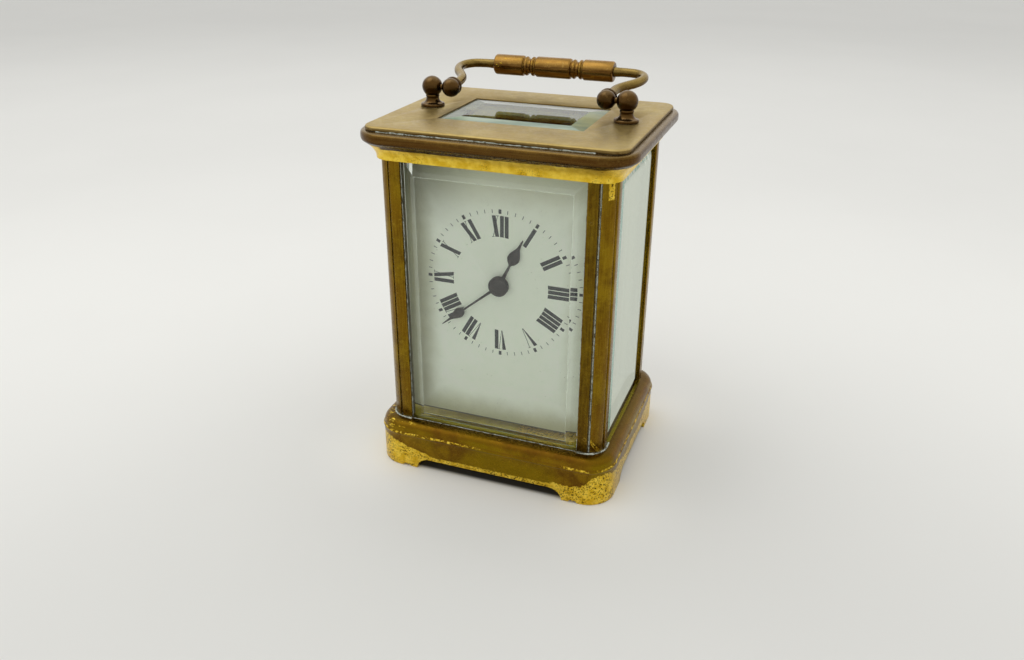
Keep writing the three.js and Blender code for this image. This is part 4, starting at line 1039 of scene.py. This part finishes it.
def handle():
    for side, sign in SIDES:
        handle_post(side, sign)
    for side, sign in SIDES:
        handle_arm(side, sign)
    profile = HALF_GRIP + [(r, -x) for r, x in reversed(HALF_GRIP)]
    grip = turned(profile, 48, "x", (0, HANDLE_R, 0), "grip")
    boolean(grip, [prism(circle(1.68, 28, HANDLE_R, 0), "x", *span)
                   for span in ((-21, -16.9), (16.9, 21))])
    fit(transform(grip, LIFT), GRIP_BRASS, body="handle", replaces="handle_grip", angle=40)

def door_knob():
    place = middle("rear_door_knob")
    profile = [  # radius, y from the door face
        (0, -1.4), (0.7, -1.4), (0.7, 1.65), (1.4, 1.65), (1.55, 1.8), (1.5, 2.05),
        (1.1, 2.25), (0.85, 2.5), (0.85, 2.75), (1.1, 2.95), (1.55, 3.2), (1.85, 3.6),
        (1.98, 4.05), (1.9, 4.5), (1.6, 4.95), (1.0, 5.28), (0.4, 5.4), (0, 5.4)]
    knob = turned(profile, 40, "y", (place.x, 26.3, place.z), "door_knob")
    fit(knob, GRIP_BRASS, body="rear_door", replaces="rear_door_knob", angle=40)


# ============================================================ dial figures
R_IN, R_OUT = 15.05, 21.5  # ends of the numerals
THICK, THIN = 1.17, 0.15  # stroke widths
SERIF_W, SERIF_H = 0.8, 0.14

def dial_point(across, out, degrees):
    """Point on the dial, in a frame turned clockwise from twelve."""
    angle = math.radians(degrees)
    return (ARBOR_X + across * math.cos(angle) + out * math.sin(angle),
            ARBOR_Z - across * math.sin(angle) + out * math.cos(angle))

def stroke(hour, inner, outer, inner_w, outer_w, r0=R_IN, r1=R_OUT):
    """Bar between two radii; inner and outer are its offsets across the hour line."""
    points = []
    for centre, width, radius, steps in ((outer, outer_w, r1, range(7)),
                                         (inner, inner_w, r0, reversed(range(7)))):
        for k in steps:
            across = centre - width / 2 + width * k / 6
            out = math.sqrt(radius * radius - across * across)
            points.append(dial_point(across, out, 30 * hour))
    return points

def bars(hour, *offsets):
    return [stroke(hour, across, across, THICK, THICK) for across in offsets]

def serif(hour, across, r0, r1):
    return stroke(hour, across, across, SERIF_W, SERIF_W, r0, r1)

def vee(hour, outer, apex, thin):
    return [stroke(hour, apex, outer, 0.14, THICK), stroke(hour, apex + 0.16, thin, THIN, THIN),
            serif(hour, thin, R_OUT - SERIF_H, R_OUT)]

def cross(hour, outer, inner, thin_out, thin_in):
    return [stroke(hour, inner, outer, THICK, THICK),
            stroke(hour, thin_in, thin_out, THIN, THIN),
            serif(hour, thin_out, R_OUT - SERIF_H, R_OUT),
            serif(hour, thin_in, R_IN, R_IN + SERIF_H)]

def printed(name, outlines):
    part = joined(name, [prism(o, "y", DIAL_Y - 0.03, DIAL_Y + 0.01) for o in outlines])
    return part

def dial_print():
    numerals = bars(1, 0) + bars(2, -0.72, 0.72) + bars(3, -1.43, 0, 1.43)
    numerals += bars(4, -2.14, -0.71, 0.71, 2.14) + vee(5, -0.95, 0.25, 1.25)
    numerals += vee(6, -1.35, -0.65, 0.3) + bars(6, 1.15)
    numerals += vee(7, -2.1, -1.4, -0.45) + bars(7, 0.35, 1.8)
    numerals += vee(8, -2.85, -2.15, -1.2) + bars(8, -0.35, 1.05, 2.45)
    numerals += bars(9, -1.25) + cross(9, 0.15, 1.35, 1.4, 0.1)
    numerals += cross(10, -0.6, 0.7, 0.75, -0.7)
    numerals += cross(11, -1.45, -0.25, -0.2, -1.6) + bars(11, 1.2)
    numerals += cross(12, -1.95, -0.85, -0.75, -2.1) + bars(12, 0.6, 2.05)
    marks = []
    for minute in range(60):  # every fifth mark is a broad one
        half, r0, r1 = (0.09, 22.2, 23.3) if minute % 5 else (0.44, 22.1, 23.4)
        corners = ((-half, r0), (half, r0), (half, r1), (-half, r1))
        marks.append([dial_point(u, v, 6 * minute) for u, v in corners])
    parts = [printed("dial_figures", numerals), printed("dial_minute_track", marks)]
    for part in parts:
        fit(part, INK)


# ============================================================ hands
# left-to-right half width, distance from the arbor
HOUR_HALF = [(0.62, 2.4), (0.44, 5.0), (0.34, 7.3), (0.5, 7.9), (1.2, 8.6), (1.75, 9.6),
             (1.82, 10.4), (1.58, 11.4), (1.08, 12.5), (0.6, 13.5), (0.4, 14.4), (0.3, 15.5),
             (0.12, 16.8)]
MINUTE_HALF = [(0.46, 2.3), (0.33, 7), (0.28, 14.2), (0.5, 14.8), (1.1, 15.4), (1.5, 16.3),
               (1.48, 17.2), (1.08, 18.4), (0.6, 19.6), (0.36, 20.6), (0.25, 22.0), (0.1, 24.1)]

def hand_angle(node):
    """Degrees clockwise from twelve of the point of the hand furthest from the arbor."""
    offsets = [(v.co.x / MM - ARBOR_X, v.co.z / MM - ARBOR_Z) for v in NODES[node].data.vertices]
    return math.degrees(math.atan2(*max(offsets, key=lambda o: o[0] ** 2 + o[1] ** 2)))

def hand(node, half_outline, boss, bore, body):
    """boss and bore are radii."""
    y0, y1, degrees = low(node).y, high(node).y, hand_angle(node)
    half = spline(half_outline, 5)
    outline = [(p.x, p.y) for p in half] + [(-p.x, p.y) for p in reversed(half)]
    blade = prism([dial_point(*p, degrees) for p in outline], "y", y0, y1, node + "_blade")
    boolean(blade, [prism(circle(boss, 48, ARBOR_X, ARBOR_Z), "y", y0, y1)], "UNION")
    boolean(blade, [prism(circle(bore, 32, ARBOR_X, ARBOR_Z), "y", y0 - 1, y1 + 1)])
    fit(bevel(tidy(blade), 0.07, 40), HAND_STEEL, body, node, angle=35)

def hands():
    hand("hour_hand", HOUR_HALF, boss=3.0, bore=2.3, body="hour_pipe")
    hand("minute_hand", MINUTE_HALF, boss=2.7, bore=0.95, body="minute_arbor")
    profile = [  # radius, y from the front of the collet
        (0, 0.75), (2.95, 0.75), (3.05, 0.65), (3.05, 0.45), (2.9, 0.27), (2.6, 0.23),
        (2.5, 0.29), (2.3, 0.31), (2.15, 0.25), (1.9, 0.15), (1.5, 0.11), (1.35, 0.17),
        (1.2, 0.15), (0.9, 0.03), (0.5, 0.01), (0, 0)]
    collet = turned(profile, 48, "y", (ARBOR_X, low("hand_collet").y, ARBOR_Z), "collet")
    fit(collet, HAND_STEEL, "minute_arbor", "hand_collet", angle=30)


# ============================================================ movement details
def moved(x, y, z):
    return Matrix.Translation(Vector((x, y, z)) * MM)

def screw_head(radius, height, y, turn):
    """Slotted cheese head on the y axis, its slot facing the rear."""
    profile = [(0, 0), (radius, 0), (radius, height * 0.7), (radius * 0.9, height), (0, height)]
    head = turned(profile, 20, "y", (0, y, 0))
    slot = block(-2 * radius, 2 * radius, y + height * 0.55, y + height + 1,
                 -radius * 0.13, radius * 0.13)
    return boolean(head, [transform(slot, Matrix.Rotation(turn, 4, "Y"))])

def movement_screws():
    rng = random.Random(7)
    back = high("back_plate").y + 0.03
    heads = [transform(screw_head(2.0, 1.5, back, rng.uniform(0, 3)), moved(x, 0, z + MOVE_Z))
             for x in (-24, 24) for z in (19.6, 87.4)]
    fit(joined("back_plate_screws", heads), STEEL, angle=40)
    upright = Matrix.Rotation(math.radians(90), 4, "X")
    top = 92.8 + MOVE_Z + 0.02
    heads = [transform(screw_head(1.3, 0.9, 0, rng.uniform(0, 3)),
                       moved(x, y + MOVE_Y, top) @ upright)
             for x in (-11, 18.8) for y in (-9.5, 9.5)]
    fit(joined("platform_screws", heads), STEEL, angle=40)

def jewels():
    cock_z, bridge_z = high("balance_cock").z + 0.02, high("escape_bridge").z + 0.02
    places = [(BALANCE_X, BALANCE_Y, cock_z), (-1.0, BALANCE_Y, bridge_z),
              (5.2, BALANCE_Y, bridge_z)]
    cap = [(0.32, 0.0), (1.35, 0.0), (1.35, 0.22), (1.2, 0.34), (0.85, 0.34), (0.7, 0.2),
           (0.32, 0.14), (0.32, 0.0)]
    stone = [(0, -0.1), (0.3, -0.1), (0.3, 0.1), (0.22, 0.17), (0, 0.2)]
    caps = joined("jewel_caps", [turned(cap, 28, at=place) for place in places])
    fit(caps, STEEL, angle=35)
    stones = joined("jewel_stones", [turned(stone, 20, at=place) for place in places])
    fit(stones, JEWEL, angle=50)

def regulator_index():
    outline = [  # x, y from the balance axis
        (-1.7, -0.3), (-1.2, -1.5), (1.2, -1.5), (1.7, -0.3), (1.6, 1.0), (0.5, 1.9),
        (0.22, 7.2), (-0.22, 7.2), (-0.5, 1.9), (-1.6, 1.0)]
    cock_z = high("balance_cock").z
    index = prism([(BALANCE_X + x, BALANCE_Y + y) for x, y in outline], "z",
                  cock_z + 0.4, cock_z + 0.7, "regulator_index")
    fit(bevel(index, 0.05), STEEL, angle=30)

def timing_screws():
    """Twelve screws standing out of the balance rim."""
    profile = [(0, 0), (0.35, 0), (0.38, 0.1), (0.38, 0.55), (0.3, 0.65), (0, 0.65)]
    screws = []
    for k in range(12):
        around = Matrix.Rotation(TAU * (k + 0.5) / 12, 4, "Z")
        place = moved(BALANCE_X, BALANCE_Y, 98.8 + MOVE_Z) @ around @ moved(7.04, 0, 0)
        screws.append(transform(turned(profile, 14, "x"), place))
    timing = joined("balance_timing_screws", screws)
    fit(timing, WHEEL_BRASS, "balance", angle=40)

def hairspring():
    turns, steps, r_inner, growth = 5, 300, 1.0, 3.3
    points = []
    for k in range(steps + 1):
        radius, angle = r_inner + growth * k / steps, turns * TAU * k / steps
        points.append((BALANCE_X + radius * math.cos(angle),
                       BALANCE_Y + radius * math.sin(angle), 100.25 + MOVE_Z))
    coil = tube("hairspring_coil", points, 0.07, 6)
    fit(coil, BLUED, "balance", "hairspring", angle=60)

def click_spring():
    """Bent wire on the back plate, with the stud that holds it."""
    bends = ((14.5, 52.5), (12.0, 51.5), (9.5, 49.6), (7.2, 48.4), (4.8, 48.1), (2.4, 47.6))
    path = spline([(x, 14.9 + MOVE_Y, z + MOVE_Z) for x, z in bends], 8)
    wire = tube("click_spring", path, 0.32, 10)
    stud = turned([(0, 13.62), (1.1, 13.62), (1.1, 15.1), (0.9, 15.3), (0, 15.3)], 20, "y",
                  (14.5, MOVE_Y, 52.5 + MOVE_Z))
    boolean(wire, [stud], "UNION")
    fit(wire, STEEL, angle=40)


# ============================================================ dried polish left in the seams
def seam(name, corners, radius, seed):
    """Uneven thread of powder along the corners."""
    rng = random.Random(seed)
    points = []
    for start, end in zip(corners, corners[1:]):
        start, end = Vector(start), Vector(end)
        steps = max(2, int((end - start).length / 0.9))
        points += [start.lerp(end, k / steps) for k in range(steps)]
    points.append(Vector(corners[-1]))
    points = [p + Vector([rng.uniform(-0.06, 0.06) for _ in range(3)]) for p in points]
    radii = [radius * rng.uniform(0.45, 1.25) for _ in points]
    last = len(points) - 1
    part = tube(name, points, lambda t: radii[min(last, int(round(t * last)))], 7)
    fit(part, POWDER, angle=80)

def foot_path(sign):
    """Round the outside of a front pillar, where it stands on the base."""
    path = [(sign * x, -29.35, 16.06) for x in (27.6, 29.6)]
    for degrees in range(0, 91, 9):
        angle = math.radians(degrees)
        x = ENV_X - COLUMN_RX + (COLUMN_RX + 0.25) * math.sin(angle)
        y = ENV_Y - COLUMN_RY + (COLUMN_RY + 0.3) * math.cos(angle)
        path.append((sign * x, -y, 16.08))
    return path + [(sign * (ENV_X + 0.25), y, 16.06) for y in (-22.4, -20.6)]

def residue():
    x, y = 27.62, -28.2  # where the front glass meets the pillars
    for name, path, radius, seed in (
            ("front_left", [(-x, y, 16.2), (-x, y, 100.6)], 0.13, 1),
            ("front_right", [(x, y, 16.2), (x, y, 100.6)], 0.23, 2),
            ("front_sill", [(-27.5, -28.8, 16.0), (27.5, -28.8, 16.0)], 0.13, 3),
            ("groove_right", [(31.3, y, 16.3), (31.3, y, 100.5)], 0.2, 5),
            ("top_crease", [(-33, -31.5, 108.98), (30, -31.5, 108.98)], 0.19, 7),
            ("foot_right", foot_path(1), 0.3, 8), ("foot_left", foot_path(-1), 0.3, 9)):
        seam("residue_" + name, path, radius, seed)


# ============================================================ stage, light and camera
def floor_finish():
    """Pale floor with painted light: brightness changes with distance from a front point,
    brightens round the base and falls to a painted shadow under it.
    """
    net = material("studio_floor")
    x, y = net.axes("XY")
    # Painted light: the brightness rises and falls with distance from a front point.
    from_x, from_y = x - 87.8, y + 248.0
    far = (from_x * from_x + from_y * from_y).sqrt()
    level = far.ramp(190, 375, to=(0.785, 0.9)) * far.ramp(400, 700, to=(1.0, 0.91))
    level = level * far.ramp(680, 1500, to=(1.0, 0.8))
    mottle = net.noise(9, detail=3, rough=0.5, seed=101)
    level = level * mottle.ramp(0.3, 0.7, to=(0.985, 1.0))
    past_x, past_y = abs(x) - (CASE_X - 4.9), abs(y) - (ENV_Y - 4.9)
    out_x, out_y = past_x.max(0.0), past_y.max(0.0)
    outside = (out_x * out_x + out_y * out_y).sqrt()  # distance from the rounded footprint
    outside = outside + past_x.max(past_y).min(0.0) - 8.4
    # Painted light brightening the floor close round the base.
    level = level * outside.ramp(0.0, 32.0, to=(1.09, 1.0))
    # Painted shadow under the base.
    level = level * outside.ramp(-1.8, 0.2, to=(0.07, 1.0))
    grains = net.noise(700, detail=3, rough=0.5, seed=103)
    return net.principled(Base_Color=net.mix(level, (0, 0, 0, 1), (1.0, 1.0, 0.962, 1)),
                          Roughness=0.75, Specular_IOR_Level=0.2,
                          Normal=net.bump(grains, strength=0.03, distance=0.05))

def studio_floor():
    corners = [(-6000, -5000, 0), (6000, -5000, 0), (6000, 7000, 0), (-6000, 7000, 0)]
    floor = new_object("studio_floor", corners, [(0, 1, 2, 3)])
    dress(floor, floor_finish())

def studio_world():
    world = bpy.data.worlds.new("studio")
    scene.world = world
    net = Net(world, output="OutputWorld", space="Generated")
    x, y, z = net.split(net.coords, "XYZ")
    overhead = z.ramp(0.12, 0.75)  # white ceiling
    behind = y.ramp(-0.25, 0.55)  # pale at the rear, darker at the front
    leftward = x.ramp(0.4, -0.8)  # brighter on the left
    level = behind * 0.3 + leftward * 0.2 + 0.66
    level = net.mix(overhead, level, 0.93, "FLOAT")
    colour = net.mix(level, (0, 0, 0, 1), (1.0, 0.995, 0.985, 1))
    net.finish(net.new("Background", Color=colour, Strength=0.92).outputs[0])

def light(name, kind, energy, direction):
    data = bpy.data.lights.new(name, kind)
    data.energy = energy
    lamp = linked(name, data)
    lamp.rotation_euler = Vector(direction).to_track_quat("-Z", "Y").to_euler()
    return lamp

def lights():
    place, target = Vector((-420, -60, 900)), Vector((0, 0, 60))
    key = light("key_overhead", "AREA", energy=0.8, direction=target - place)
    key.location = place * MM
    key.data.shape = "RECTANGLE"
    key.data.size = key.data.size_y = 700 * MM
    sky = light("soft_sky", "SUN", energy=0.16, direction=(0.45, 0.35, -1.0))
    sky.data.angle = math.radians(50)

def camera():
    azimuth, elevation, roll = (math.radians(a) for a in (20.327, 26.06, 0.286))
    back = Vector((math.sin(azimuth) * math.cos(elevation),
                   -math.cos(azimuth) * math.cos(elevation), math.sin(elevation)))
    level_x = Vector((0, 0, 1)).cross(back).normalized()
    level_y = back.cross(level_x)
    right = math.cos(roll) * level_x + math.sin(roll) * level_y
    up = -math.sin(roll) * level_x + math.cos(roll) * level_y
    pose = Matrix((right, up, back)).transposed().to_4x4()
    pose.translation = Vector((87.76, -248.0, 167.85)) * MM
    data = bpy.data.cameras.new("camera")
    data.sensor_width = 36
    data.lens = 31.180078
    data.clip_start = 0.01  # metres
    data.clip_end = 50
    scene.camera = linked("camera", data)
    scene.camera.matrix_world = pose
    scene.view_settings.view_transform = "Standard"
    scene.view_settings.look = "None"


for build in (keep_frame_pieces, base_moulding, cornice, top_plate, top_pane, pillars,
              glass_pins, handle, door_knob, dial_print, hands, movement_screws, jewels,
              regulator_index, timing_screws, hairspring, click_spring, residue,
              studio_floor, studio_world, lights, camera):
    build()

# ============================================================ update the view layer
bpy.context.view_layer.update()
